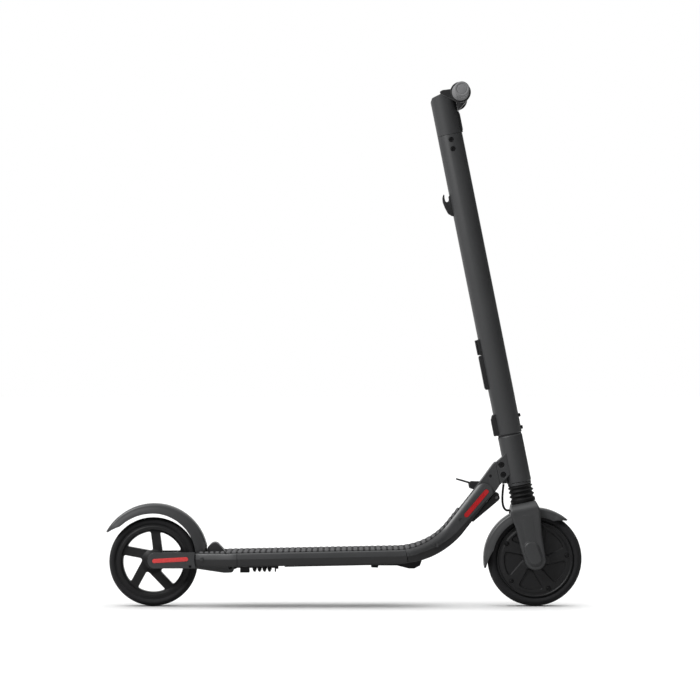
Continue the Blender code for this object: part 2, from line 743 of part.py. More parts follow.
def make_kickstand(looks, line, root):
    """Prop on the left, folded back under the deck."""
    pivot_x = line.at(line.front_seam)[0].x + STAND_AHEAD
    pivot_y, pivot_z = STAND_OUT, STAND_PIVOT_Z
    rear, front = pivot_x - 38, pivot_x + 22
    outline = [(rear, line.underside(rear)), (rear + 6, pivot_z), (pivot_x - 6, pivot_z - 6.5)]
    outline += [(pivot_x + 6, pivot_z - 6.5), (front - 4, pivot_z), (front, line.underside(rear) + 1)]
    bracket_mesh = prism(outline, pivot_y - 10, pivot_y + 12)
    bracket = add_piece("kickstand_bracket", bracket_mesh, looks["dark_steel"], root)
    frame = Frame("kickstand_axis", root, (pivot_x, pivot_y, pivot_z), lean=STAND_LEAN)
    cut(bracket, box((-60, -6.3, -30), (10, 6.3, 6.5)), frame)
    join(bracket, rod(STAND_PIN_RADIUS, -9.3, 9.3), frame)
    leg = rod(STAND_LEG_RADIUS, -STAND_LEG, -1.5, axis="X", centre=(0, 1, 0))
    stand = add_piece("kickstand_leg", leg, looks["dark_steel"], frame)
    join(stand, rod(STAND_LEG_RADIUS + 1.6, -4.3, 6, sides=16), frame)
    foot = [(-STAND_LEG - 5, -4.8), (10 - STAND_LEG, -5.8), (12 - STAND_LEG, 5.0), (-STAND_LEG - 5, 4.8)]
    join(stand, prism(foot, -5, 7), frame)
    cut(stand, rod(STAND_PIN_RADIUS + GAP, -20, 20), frame)
    return frame


# Rear arm, wheel, suspension and fender


def make_rear_arm(looks, root):
    """Swing arm, its pull rod and spring, and the side covers with their reflectors."""
    frame = Frame("rear_arm_axis", root, (ARM_PIVOT_X, 0, ARM_PIVOT_Z), drawn=Matrix.Identity(4))
    ear = (ARM_PIVOT_X, ROD_HEIGHT)
    boss_right = ARM_PIVOT_X + ARM_BOSS
    outline = rounded(
        [
            (boss_right, ARM_PIVOT_Z + ARM_BOSS, ARM_BOSS - 0.2),
            (boss_right, ear[1] - 11, 6.5),
            (ear[0] - 14, ear[1] - 11.5, 6),
            (FENDER_PIN_X - 4, ARM_LOW - 3, 4),
            (REAR_AXLE_X + REAR_TYRE_RADIUS - 15, ARM_LOW + 1.5, 12),
            (ARM_END_X + 2, ARM_LOW + 1.5, 14),
            (ARM_END_X + 2, ARM_HIGH - 1.5, 14),
            (FENDER_PIN_X - 10, ARM_HIGH - 1.5, 4),
            (FENDER_PIN_X + 8, 103.5, 4),
            (ARM_PIVOT_X - ARM_BOSS - 2, 108.5, 3),
        ]
    )
    arm = add_piece("rear_arm", prism(outline, -ARM_LEG_OUTER, ARM_LEG_OUTER), looks["painted"], frame)
    lug = (FENDER_PIN_X, 0, FENDER_PIN_Z)
    join(arm, rod(6, -ARM_LEG_OUTER, ARM_LEG_OUTER, centre=lug, sides=24), frame)
    wheel_front = REAR_AXLE_X + REAR_TYRE_RADIUS
    wheel_room = box((ARM_END_X - 20, -ARM_LEG_INNER, 40), (wheel_front + 4, ARM_LEG_INNER, 150))
    cut(arm, wheel_room, frame)
    notch = box((wheel_front, -ARM_LEG_INNER, 103), (FENDER_PIN_X + 9, ARM_LEG_INNER, 150))
    cut(arm, notch, frame)
    cut(arm, rod(AXLE_RADIUS + GAP, -60, 60, centre=(REAR_AXLE[0], 0, REAR_AXLE[1])), frame)
    cut(arm, rod(ARM_PIN_RADIUS + GAP, -60, 60, centre=(ARM_PIVOT_X, 0, ARM_PIVOT_Z)), frame)
    join(arm, rod(FENDER_PIN_RADIUS, -35, 35, centre=lug), frame)
    cut(arm, box((ear[0] - 12, -8.5, 40), (ear[0] + 30, 8.5, ear[1] + 9)), frame)
    cut(arm, rod(3 + GAP, -60, 60, centre=(ear[0], 0, ear[1])), frame)
    shoulder = 24 + GAP
    axle = [(0, -41), (8.5, -41), (8.5, -ARM_LEG_OUTER - GAP), (AXLE_RADIUS, -ARM_LEG_OUTER - GAP)]
    axle += [(AXLE_RADIUS, GAP - ARM_LEG_INNER), (9, GAP - ARM_LEG_INNER)]
    axle += [(9, -shoulder), (AXLE_RADIUS, -shoulder)]
    axle += [(r, -y) for r, y in reversed(axle)]
    axle_mesh = turned(axle, PIN_SIDES, centre=(REAR_AXLE[0], 0, REAR_AXLE[1]))
    add_piece("rear_axle", axle_mesh, looks["steel"], frame)
    cover_front = ARM_PIVOT_X - ARM_GAP_RADIUS + 18
    cover_line = [(ARM_END_X, ARM_LOW - 1, 16.4), (ARM_END_X, ARM_HIGH + 1, 16.4)]
    cover_line += [(cover_front, ARM_HIGH + 1.2, 1), (cover_front, ARM_LOW - 1, 1)]
    cover_line = rounded(cover_line)
    patch_ends = ((ARM_END_X + 14.6, 98.9), (ARM_END_X + 82.6, 102.8))
    for side, name in ((-1, "right"), (1, "left")):
        low, high = sorted((side * (ARM_LEG_OUTER + GAP), side * ARM_COVER_OUTER))
        cover = add_piece(f"arm_cover_{name}", prism(cover_line, low, high), looks["painted"], frame, 2.0)
        pivot = (ARM_PIVOT_X, 0, ARM_PIVOT_Z)
        cut(cover, rod(ARM_GAP_RADIUS + ARM_GAP, -80, 80, centre=pivot, sides=120), frame)
        nut = (REAR_AXLE[0], 0, REAR_AXLE[1])
        low, high = sorted((side * 30, side * (41 + GAP)))
        cut(cover, rod(8.5 + GAP, low, high, centre=nut), frame)
        low, high = sorted((side * (ARM_COVER_OUTER - REFLECTOR_DEEP - GAP), side * 60))
        cut(cover, prism(capsule(*patch_ends, REFLECTOR_WIDTH / 2 + GAP - 0.4), low, high), frame)
        outer = ARM_COVER_OUTER + REFLECTOR_PROUD
        low, high = sorted((side * (ARM_COVER_OUTER - REFLECTOR_DEEP), side * outer))
        patch = prism(capsule(*patch_ends, REFLECTOR_WIDTH / 2 - 0.4), low, high)
        add_piece(f"arm_reflector_{name}", patch, looks["reflector"], frame)
    return frame


def make_rear_suspension(looks, root):
    """Pull rod through the spring's bracket, with its end plate, and the coil between them."""
    bracket_low, bracket_high = SPRING_REAR - 20.5, SPRING_REAR - GAP
    half = SPRING_RADIUS + 1.5
    outline = rounded(
        [(-half, ROD_HEIGHT - 12.5, 3), (half, ROD_HEIGHT - 12.5, 3), (half, 96, 1), (-half, 96, 1)]
    )
    bracket_mesh = prism(outline, bracket_low, bracket_high, "X")
    bracket = add_piece("spring_bracket", bracket_mesh, looks["dark_steel"], root)
    cut(bracket, rod(ROD_RADIUS + GAP, -260, -180, "X", (0, 0, ROD_HEIGHT)), root)
    frame = Frame("pull_rod_slide", root, (ARM_PIVOT_X, 0, ROD_HEIGHT))
    reach = SPRING_FRONT - ARM_PIVOT_X
    plate = reach + GAP
    profile = [(0, -7), (3.2, -7), (5.5, -4), (5.5, 9), (ROD_RADIUS, 14), (ROD_RADIUS, plate)]
    profile += [(SPRING_RADIUS, plate), (SPRING_RADIUS, plate + 3), (5, plate + 3)]
    profile += [(5, plate + 8), (0, plate + 8)]
    pull = add_piece("pull_rod", turned(profile, 16, "X"), looks["steel"], frame)
    join(pull, rod(3, -14, 14), frame)
    return frame


def make_rear_spring(looks, root):
    """The coil behind the swing arm's pull, squeezed between its bracket and the rod's end plate."""
    frame = Frame("rear_spring_place", root, (0, 0, ROD_HEIGHT))
    radius = SPRING_RADIUS - SPRING_WIRE
    spring = coil(SPRING_REAR, SPRING_FRONT, radius, SPRING_WIRE, SPRING_TURNS, "X", 6, 12)
    add_piece("rear_spring", spring, looks["dark_steel"], frame)


def tube_along(points, radius, sides, across):
    """A round bar along points; across gives a direction that is never along the bar."""
    rings = []
    for number, point in enumerate(points):
        before = points[max(0, number - 1)]
        after = points[min(len(points) - 1, number + 1)]
        along = (after - before).normalized()
        other = along.cross(across(point)).normalized()
        spoke = other.cross(along)
        row = []
        for side in range(sides):
            turn = 2 * math.pi * side / sides
            row.append(point + (spoke * math.cos(turn) + other * math.sin(turn)) * radius)
        rings.append(row)
    return loft(rings)


def coil(start, end, radius, wire, turns, axis, sides, steps):
    """A coil spring of one unbroken wire, along an axis of its frame."""
    points = []
    count = round(turns * steps)
    rise = end - start - 2 * wire
    for number in range(count + 1):
        angle = 2 * math.pi * number / steps
        place = start + wire + rise * number / count
        a, b = radius * math.cos(angle), radius * math.sin(angle)
        points.append(Vector((place, a, b)) if axis == "X" else Vector((a, b, place)))

    def outward(point):
        return Vector((0, point.y, point.z)) if axis == "X" else Vector((point.x, point.y, 0))

    return tube_along(points, wire, sides, outward)


def make_rear_wheel(looks, arm):
    """Five-spoked wheel with a plain tyre."""
    frame = Frame("rear_wheel_axis", arm, (REAR_AXLE[0], 0, REAR_AXLE[1]))
    half = REAR_TYRE_WIDTH / 2
    rim = REAR_RIM_RADIUS
    profile = [(AXLE_RADIUS + GAP, -24), (17, -24), (HUB_RADIUS + 2, -12)]
    profile += [(WINDOW_RADIUS - 2, -11), (WINDOW_RADIUS + 2, -17), (rim, -17)]
    profile += [(r, -y) for r, y in reversed(profile)]
    wheel = add_piece("rear_rim", turned(profile, WHEEL_SIDES), looks["plastic"], frame)
    for number in range(SPOKES):
        cut(wheel, prism(wheel_window(number), -30, 30), frame)
    tyre_profile(frame, looks, "rear_tyre", rim + GAP, REAR_TYRE_RADIUS, half)
    return frame


def wheel_window(number):
    """The opening between two spokes: straight along them, round at the rim and the hub."""
    turn = 360.0 / SPOKES
    first = SPOKE_TURN + number * turn
    half = SPOKE_WIDTH / 2
    outer = math.degrees(math.asin(half / WINDOW_RADIUS))
    inner = math.degrees(math.asin(half / HUB_RADIUS))
    low, high = first + outer, first + turn - outer
    steps = 4
    corners = [(*polar(HUB_RADIUS + 3, first + inner), 4.0)]
    for step in range(steps + 1):
        radius = 5.0 if step in (0, steps) else 0.0
        corners.append((*polar(WINDOW_RADIUS, low + (high - low) * step / steps), radius))
    corners.append((*polar(HUB_RADIUS + 3, first + turn - inner), 4.0))
    return rounded(corners)


def polar(radius, degrees):
    return radius * math.cos(math.radians(degrees)), radius * math.sin(math.radians(degrees))


def tyre_profile(frame, looks, name, inner, outer, half):
    """A round-shouldered tyre, turned about the axle."""
    wall = outer - inner
    side = [(inner, half - 5), (inner + wall * 0.4, half), (outer - wall * 0.33, half - 2)]
    side += [(outer - wall * 0.08, half - 9)]
    profile = [(r, -y) for r, y in side] + [(outer, 0)] + list(reversed(side))
    add_piece(name, turned(profile, WHEEL_SIDES), looks["tyre"], frame)


def fender_shell(centre, angles, outer_at, skirt_at, half, wall):
    """A channel bent round a wheel: a top with rounded shoulders and two side skirts."""
    rings = []
    shoulder = 4.0
    for angle in angles:
        outer, skirt = outer_at(angle), skirt_at(angle)
        skirt = min(skirt, outer - wall - 0.6)
        side = [(half, skirt), (half, max(outer - shoulder, skirt + 0.2)), (half - shoulder * 0.9, outer)]
        inside = [(half - shoulder, outer - wall), (half - wall, max(outer - shoulder - 0.5, skirt + 0.1))]
        inside.append((half - wall, skirt))
        section = side + [(-y, r) for y, r in reversed(side)]
        section += [(-y, r) for y, r in reversed(inside)] + inside
        rings.append(section)
    laid = []
    for angle, section in zip(angles, rings):
        laid.append([(*lay(centre, r, angle, y),) for y, r in section])
    return loft(laid)


def lay(centre, radius, degrees, y):
    """A point at a radius and an angle about a centre in side view, at a place across."""
    x, z = polar(radius, degrees)
    return centre[0] + x, y, centre[1] + z


def make_rear_fender(looks, arm):
    """Fender that is also the foot brake: it turns on a pin in the arm and carries the pad."""
    pivot = (FENDER_PIN_X, 0, FENDER_PIN_Z)
    frame = Frame("rear_fender_axis", arm, pivot, drawn=Matrix.Identity(4))
    top, front, tail = REAR_FENDER_TOP, REAR_FENDER_FRONT, REAR_FENDER_TAIL
    lean = tail - top
    skirt = REAR_FENDER_SKIRT

    def outer_at(angle):
        return REAR_FENDER_CROWN - REAR_FENDER_DROP * ((angle - top) / lean) ** 2

    def skirt_at(angle):
        taper = tail - 14
        if angle > taper:
            share = (angle - taper) / (tail - taper)
            return skirt + (outer_at(tail) - 3.6 - skirt) * share
        return skirt - 10 * max(0.0, (top + 2 - angle) / 70) ** 1.3

    count = 20
    angles = [tail + (front + 3 - tail) * number / count for number in range(count + 1)]
    shell = fender_shell(REAR_AXLE, angles, outer_at, skirt_at, REAR_FENDER_HALF, REAR_FENDER_WALL)
    fender = add_piece("rear_fender", shell, looks["painted"], frame)
    floor = ARM_HIGH + 2.4
    cut(fender, box((pivot[0] - 52, -60, 60), (pivot[0] + 58, 60, floor)), frame)
    lug = [(9.4, 25), (10.4, 15), (5.5, -1), (0, -6), (-5.5, -1), (-4, 25)]
    lug = [(pivot[0] + forward, pivot[2] + up) for forward, up in lug]
    for side in (-1, 1):
        low, high = sorted((side * 21.6, side * 26.5))
        join(fender, prism(lug, low, high), frame)
    cut(fender, rod(FENDER_PIN_RADIUS + GAP, -60, 60, centre=pivot), frame)
    pad_low = REAR_TYRE_RADIUS + BRAKE_PAD_CLEAR
    inner = REAR_FENDER_CROWN - REAR_FENDER_WALL + 0.8
    pad = arc(REAR_AXLE, inner, 104, 76, 6) + arc(REAR_AXLE, pad_low, 76, 104, 6)
    join(fender, prism(pad, -14, 14), frame)
    return frame


# Head tube, fold bracket and stem


def make_head(looks, line, root):
    """Head tube with its tongue, and the bracket that joins it to the neck's fold block."""
    fold = line.fold
    frame = Frame("fold_axis", root, (fold.x, 0, fold.y), RAKE, drawn=STEERING)
    bearing = STEERER_RADIUS + GAP
    low, high = HEAD_TUBE_LOW, HEAD_TUBE_HIGH
    profile = [(BEARING_RADIUS, low + BEARING_HEIGHT), (bearing, low + BEARING_HEIGHT), (bearing, low)]
    profile += [(HEAD_TUBE_RADIUS - 1, low), (HEAD_TUBE_RADIUS, low + 1), (HEAD_TUBE_RADIUS, high - 1)]
    profile += [(HEAD_TUBE_RADIUS - 1, high), (bearing, high), (bearing, high - BEARING_HEIGHT)]
    profile += [(BEARING_RADIUS, high - BEARING_HEIGHT)]
    tube = add_piece("head_tube", turned(profile, STEM_SIDES, "Z"), looks["painted"], frame)
    tongue_low, tongue_high = FOLD_HEIGHT - 44.6, FOLD_HEIGHT + 8
    # the motor cable leaves the tongue's underside at its back corner
    tongue = [(-TONGUE_BACK, tongue_low, 0.6), (-TONGUE_BACK, tongue_high - 6, 5), (-24, tongue_high, 2)]
    tongue += [(-20, tongue_high, 1), (-20, tongue_low, 1)]
    join(tube, prism(rounded(tongue), -TONGUE_HALF, TONGUE_HALF), frame)
    back = -FOLD_BEHIND + GAP / 2
    outline = [(back, SEAM_LOW), (back, FOLD_HEIGHT), (-FOLD_BEHIND + 2.4, FOLD_HEIGHT + 4.5)]
    outline += [(-26, FOLD_HEIGHT + 12.5), (-16, FOLD_HEIGHT + 20.5), (-10, FOLD_HEIGHT + 20.5)]
    outline += [(-10, FOLD_HEIGHT - 28), (-16.6, FOLD_HEIGHT - 27)]
    bracket = add_piece("fold_bracket", prism(outline, -BLOCK_HALF, BLOCK_HALF), looks["painted"], frame)
    cut(bracket, rod(HEAD_TUBE_RADIUS + GAP, 100, 300, "Z", sides=STEM_SIDES), frame)
    cut(
        bracket,
        rod(KNUCKLE_RADIUS + 0.5, -60, 60, centre=(-FOLD_BEHIND, 0, FOLD_HEIGHT), sides=16),
        frame,
    )
    pivot = (-FOLD_BEHIND, 0, FOLD_HEIGHT)
    join(bracket, rod(KNUCKLE_RADIUS, -KNUCKLE_HALF, KNUCKLE_HALF, centre=pivot, sides=16), frame)
    web = [(-FOLD_BEHIND + 0.2, FOLD_HEIGHT - 4.6), (-FOLD_BEHIND + 5.6, FOLD_HEIGHT - 7)]
    web += [(-FOLD_BEHIND + 5.6, FOLD_HEIGHT + 7), (-FOLD_BEHIND + 2.5, FOLD_HEIGHT + 4.3)]
    join(bracket, prism(web, -KNUCKLE_HALF, KNUCKLE_HALF), frame)
    tongue_room = TONGUE_HALF + GAP
    low_corner = (-TONGUE_BACK - GAP, -tongue_room, FOLD_HEIGHT - 56)
    cut(bracket, box(low_corner, (0, tongue_room, FOLD_HEIGHT + 10)), frame)
    cut(
        bracket,
        rod(FOLD_PIN_RADIUS + GAP, -40, 40, centre=(-FOLD_BEHIND, 0, FOLD_HEIGHT)),
        frame,
    )
    strike_low = (-FOLD_BEHIND - 3, -LATCH_SLOT_HALF, FOLD_HEIGHT - 28)
    strike_high = (-FOLD_BEHIND + 3.2, LATCH_SLOT_HALF, FOLD_HEIGHT - 14)
    cut(bracket, box(strike_low, strike_high), frame)
    for forward, up in BOLT_POINTS:
        centre = (forward, 0, up)
        cut(bracket, rod(BOLT_RADIUS + GAP, -40, 40, centre=centre), frame)
        for side in (-1, 1):
            low_y, high_y = sorted((side * (BLOCK_HALF - 4 - GAP), side * 30))
            cut(bracket, rod(BOLT_HEAD + GAP, low_y, high_y, centre=centre, sides=16), frame)
        end, seat_y = BLOCK_HALF - 0.8, BLOCK_HALF - 4
        bolt = [(0, -end), (BOLT_HEAD, -end), (BOLT_HEAD, -seat_y)]
        bolt.append((BOLT_RADIUS, -seat_y))
        bolt += [(r, -y) for r, y in reversed(bolt)]
        join(tube, turned(bolt, PIN_SIDES, centre=centre), frame)
    return frame


def on_stem(outline, half, frame, name, look, soft=0.8):
    """A fitting on the stem's wall, shaped to the round tube behind it."""
    piece = add_piece(name, prism(outline, -half, half), look, frame, soft)
    cut(piece, rod(STEM_RADIUS + GAP, 100, 1100, "Z", sides=STEM_SIDES), frame)
    return piece


def make_stem(looks, head):
    """Stem tube on its steerer, with the battery inside and the fittings on its wall."""
    frame = Frame("steering_axis", head, (FRONT_AXLE[0], 0, FRONT_AXLE[1]), RAKE)
    flange_high = HEAD_TUBE_LOW - GAP
    flange_low = flange_high - STEERER_FLANGE_THICK
    top = STEM_FLOOR - 2
    profile = [(STEERER_BORE, flange_low), (STEERER_FLANGE, flange_low), (STEERER_FLANGE, flange_high)]
    profile.append((STEERER_RADIUS, flange_high))
    profile += [(STEERER_RADIUS, top), (STEERER_BORE, top)]
    steerer = turned(profile, STEM_SIDES, "Z")
    inner = STEM_RADIUS - STEM_WALL
    sleeve = STEERER_BORE + 2
    profile = [(sleeve, STEM_LOW), (STEM_RADIUS - 1, STEM_LOW), (STEM_RADIUS, STEM_LOW + 1)]
    profile += [(STEM_RADIUS, STEM_HIGH), (inner, STEM_HIGH), (inner, STEM_FLOOR), (sleeve, STEM_FLOOR)]
    tube = add_piece("stem_tube", turned(profile, STEM_SIDES, "Z"), looks["painted"], frame)
    join(tube, steerer, frame)
    pack_top = STEM_HIGH - SPIGOT_LENGTH - 6
    profile = [(0, STEM_FLOOR + GAP), (inner - GAP, STEM_FLOOR + GAP)]
    rows = 2
    for number in range(rows):
        row_low = STEM_FLOOR + GAP + (pack_top - STEM_FLOOR) * number / rows
        row_high = STEM_FLOOR + GAP + (pack_top - STEM_FLOOR) * (number + 1) / rows
        profile += [(inner - GAP, row_low + 4), (inner - 3, row_low + 5), (inner - 3, row_high - 5)]
        profile.append((inner - GAP, row_high - 4))
    profile += [(inner - GAP, pack_top), (0, pack_top)]
    add_piece("battery_pack", turned(profile, 16, "Z"), looks["battery"], frame)
    make_stem_head(looks, frame, tube, inner)
    hook = [(-25, -34), (-30, -33.5), (-36, -27), (-41, -13), (-43.6, 0), (-42.5, 9)]
    hook += [(-38.5, 16), (-37, 15), (-38.2, 8), (-37.6, 2), (-35.2, -1.5)]
    hook += [(-32.5, -1.5), (-30.2, 2), (-29, 10), (-25, 12)]
    hook = [(forward, HOOK_HEIGHT + rise) for forward, rise in hook]
    on_stem(hook, HOOK_HALF, frame, "bag_hook", looks["plastic"], 0.6)
    port_out = STEM_RADIUS + 3.6
    port_high = PORT_LOW + PORT_LENGTH
    port = [(-20, PORT_LOW), (-port_out, PORT_LOW), (-port_out, port_high), (-20, port_high)]
    on_stem(port, FITTING_HALF, frame, "charge_port", looks["plastic"], 1.0)
    low, high = CONNECTOR_LOW, CONNECTOR_LOW + CONNECTOR_LENGTH
    cover = [(-20, low), (-32, low + 1.5), (-33.6, low + 5)]
    cover += [(-33.6, high - 3.5), (-32, high), (-20, high + 0.5)]
    on_stem(cover, FITTING_HALF, frame, "connector_cover", looks["plastic"])
    low, high = STEM_LOW + 1, STEM_LOW + 1 + CABLE_COVER_LENGTH
    block = [(-20, low), (-34, low), (-34, high - 8), (-29, high), (-20, high)]
    on_stem(block, CABLE_COVER_HALF, frame, "cable_cover", looks["plastic"])
    low, high = STEM_HIGH + 2, STEM_HIGH + 2 + LAMP_LENGTH
    strip = [(20, low), (28.2, low + 1), (29.8, low + 4)]
    strip += [(29.8, high - 4), (28.6, high - 0.5), (20, high + 0.5)]
    on_stem(strip, LAMP_HALF, frame, "headlight", looks["lens"], 0.6)
    for up in STUD_HEIGHTS:
        join(tube, rod(STUD_RADIUS, STEM_RADIUS - 2, STEM_RADIUS + 4, "X", (0, 0, up)), frame)
    cap_pivot = steering_to_world(-port_out - 1.8, port_high - 1.5)
    cap_frame = Frame("charge_cap_axis", frame, (cap_pivot[0], 0, cap_pivot[1]), RAKE)
    flap_low = 2.5 - PORT_LENGTH
    cap = rounded([(1.3, flap_low, 0.3), (-1.8, flap_low, 1.2), (-2.0, 0.9, 0.8), (1.3, 0.9, 0.3)])
    cap_half = FITTING_HALF - 1
    add_piece("charge_cap", prism(cap, -cap_half, cap_half), looks["rubber"], cap_frame)
    return frame


def make_stem_head(looks, frame, tube, inner):
    """Casting on top of the stem, the clamp for the bar, the display and its button."""
    low = STEM_HIGH + GAP
    foot = BAR_HEIGHT - CLAMP_FOOT
    side_line = [(-STEM_RADIUS, low), (-STEM_RADIUS, HEAD_HIGH - 11)]
    side_line += [(4.4 - STEM_RADIUS, HEAD_HIGH - 4.2), (-3, HEAD_HIGH), (28, HEAD_HIGH - 20.4)]
    side_line += [(27.2, foot), (STEM_RADIUS, low)]
    casting = add_piece("stem_head", prism(side_line, -STEM_RADIUS, STEM_RADIUS), looks["painted"], frame)
    round_plan = arc((0, 0), STEM_RADIUS, 0, 345, 23)
    crop(casting, prism(round_plan, STEM_HIGH - 30, HEAD_HIGH + 21, "Z"), frame)
    spigot = rod(inner - GAP, STEM_HIGH - SPIGOT_LENGTH, STEM_HIGH + 12, "Z", sides=16)
    join(casting, spigot, frame)
    for up in HEAD_BOLT_HEIGHTS:
        centre = (0, 0, up)
        cut(tube, rod(HEAD_BOLT_RADIUS + GAP, -40, 40, centre=centre), frame)
        end = STEM_RADIUS - 0.9
        join(casting, rod(HEAD_BOLT_RADIUS, -end, end, centre=centre), frame)
    bar = (BAR_FORWARD, BAR_HEIGHT)
    top = CLAMP_HIGH
    outline = [(-2.4, HEAD_HIGH + 0.4), (-2.1, top - 1.4), (-0.6, top), (18, top)]
    outline += arc(bar, CLAMP_RADIUS, 124, -70, 11)
    outline += [(31, foot), (27.6, foot), (28.4, HEAD_HIGH - 20.1)]
    clamp = add_piece("bar_clamp", prism(outline, -CLAMP_HALF, CLAMP_HALF), looks["plastic"], frame)
    cut(clamp, rod(BAR_RADIUS + GAP, -60, 60, centre=(bar[0], 0, bar[1]), sides=16), frame)
    cut(clamp, box((1.5, -16.3, top - 2), (14.5, 8.3, top + 5)), frame)
    add_piece("display", box((1.8, -16, top - 1.7), (14.2, 8, top - 0.2)), looks["lens"], frame)
    button = BUTTON_PLACE
    cut(clamp, rod(BUTTON_RADIUS + GAP, top - 4, top + 5, "Z", (*button, 0), 24), frame)
    slide = Frame("power_button_slide", frame, steering_point(button[0], button[1], top), RAKE)
    add_piece("power_button", rod(BUTTON_RADIUS, -2.4, 0.8, "Z", sides=16), looks["rubber"], slide)


def steering_point(forward, across, up):
    """The world point of a place in the steering frame, in millimetres."""
    x, z = steering_to_world(forward, up)
    return x, across, z


def make_handlebar(looks, stem):
    """Bar, grips, and the two thumb controls."""
    bar = (BAR_FORWARD, 0, BAR_HEIGHT)
    bore = BAR_RADIUS - BAR_WALL
    tube = [(bore, -BAR_HALF), (BAR_RADIUS, -BAR_HALF), (BAR_RADIUS, BAR_HALF), (bore, BAR_HALF)]
    add_piece("handlebar", turned(tube, BAR_SIDES, centre=bar), looks["painted"], stem)
    lever_outer = GRIP_INNER - 2 * GAP
    for side, name in ((-1, "right"), (1, "left")):
        hand = "throttle" if side < 0 else "brake"
        sleeve = BAR_RADIUS + GAP
        grip = [(0, BAR_HALF + GAP), (sleeve, BAR_HALF + GAP), (sleeve, GRIP_INNER)]
        grip.append((GRIP_FLANGE, GRIP_INNER))
        grip += [(GRIP_FLANGE, GRIP_INNER + 4), (GRIP_RADIUS, GRIP_INNER + 9)]
        grip += [(GRIP_RADIUS, GRIP_END - 3), (GRIP_RADIUS - 2.4, GRIP_END), (0, GRIP_END)]
        grip_mesh = turned([(r, side * y) for r, y in grip], BAR_SIDES, centre=bar)
        add_piece(f"grip_{name}", grip_mesh, looks["grip"], stem)
        end = LEVER_INNER - GAP
        shell = [(sleeve, HOUSING_INNER), (HOUSING_RADIUS - 2.5, HOUSING_INNER)]
        shell += [(HOUSING_RADIUS, HOUSING_INNER + 2.5), (HOUSING_RADIUS, end), (sleeve, end)]
        housing_mesh = turned([(r, side * y) for r, y in shell], BAR_SIDES, centre=bar)
        add_piece(f"{hand}_housing", housing_mesh, looks["plastic"], stem)
        axis = Frame(f"{hand}_lever_axis", stem, steering_point(bar[0], 0, bar[2]), 0.0)
        knob = [(sleeve, LEVER_INNER), (LEVER_RADIUS, LEVER_INNER)]
        knob += [(LEVER_RADIUS, lever_outer), (sleeve, lever_outer)]
        knob_mesh = turned([(r, side * y) for r, y in knob], BAR_SIDES)
        lever = add_piece(f"{hand}_lever", knob_mesh, looks["plastic"], axis)
        low, high = sorted((side * (LEVER_INNER + 0.5), side * (lever_outer - 0.5)))
        paddle = [(-13, 8), (-24, 6.2), (-PADDLE_REACH + 6, 4.6), (-PADDLE_REACH, 1.2)]
        paddle.append((-PADDLE_REACH + 1.5, -3.4))
        paddle += [(-29.5, -9.6), (-13, -17.5)]
        lean = Matrix.Rotation(-math.radians(PADDLE_TURN), 2)
        paddle = [tuple(lean @ Vector(point)) for point in paddle]
        join(lever, prism(paddle, low, high), axis)


# Fork, front suspension, wheel and fender


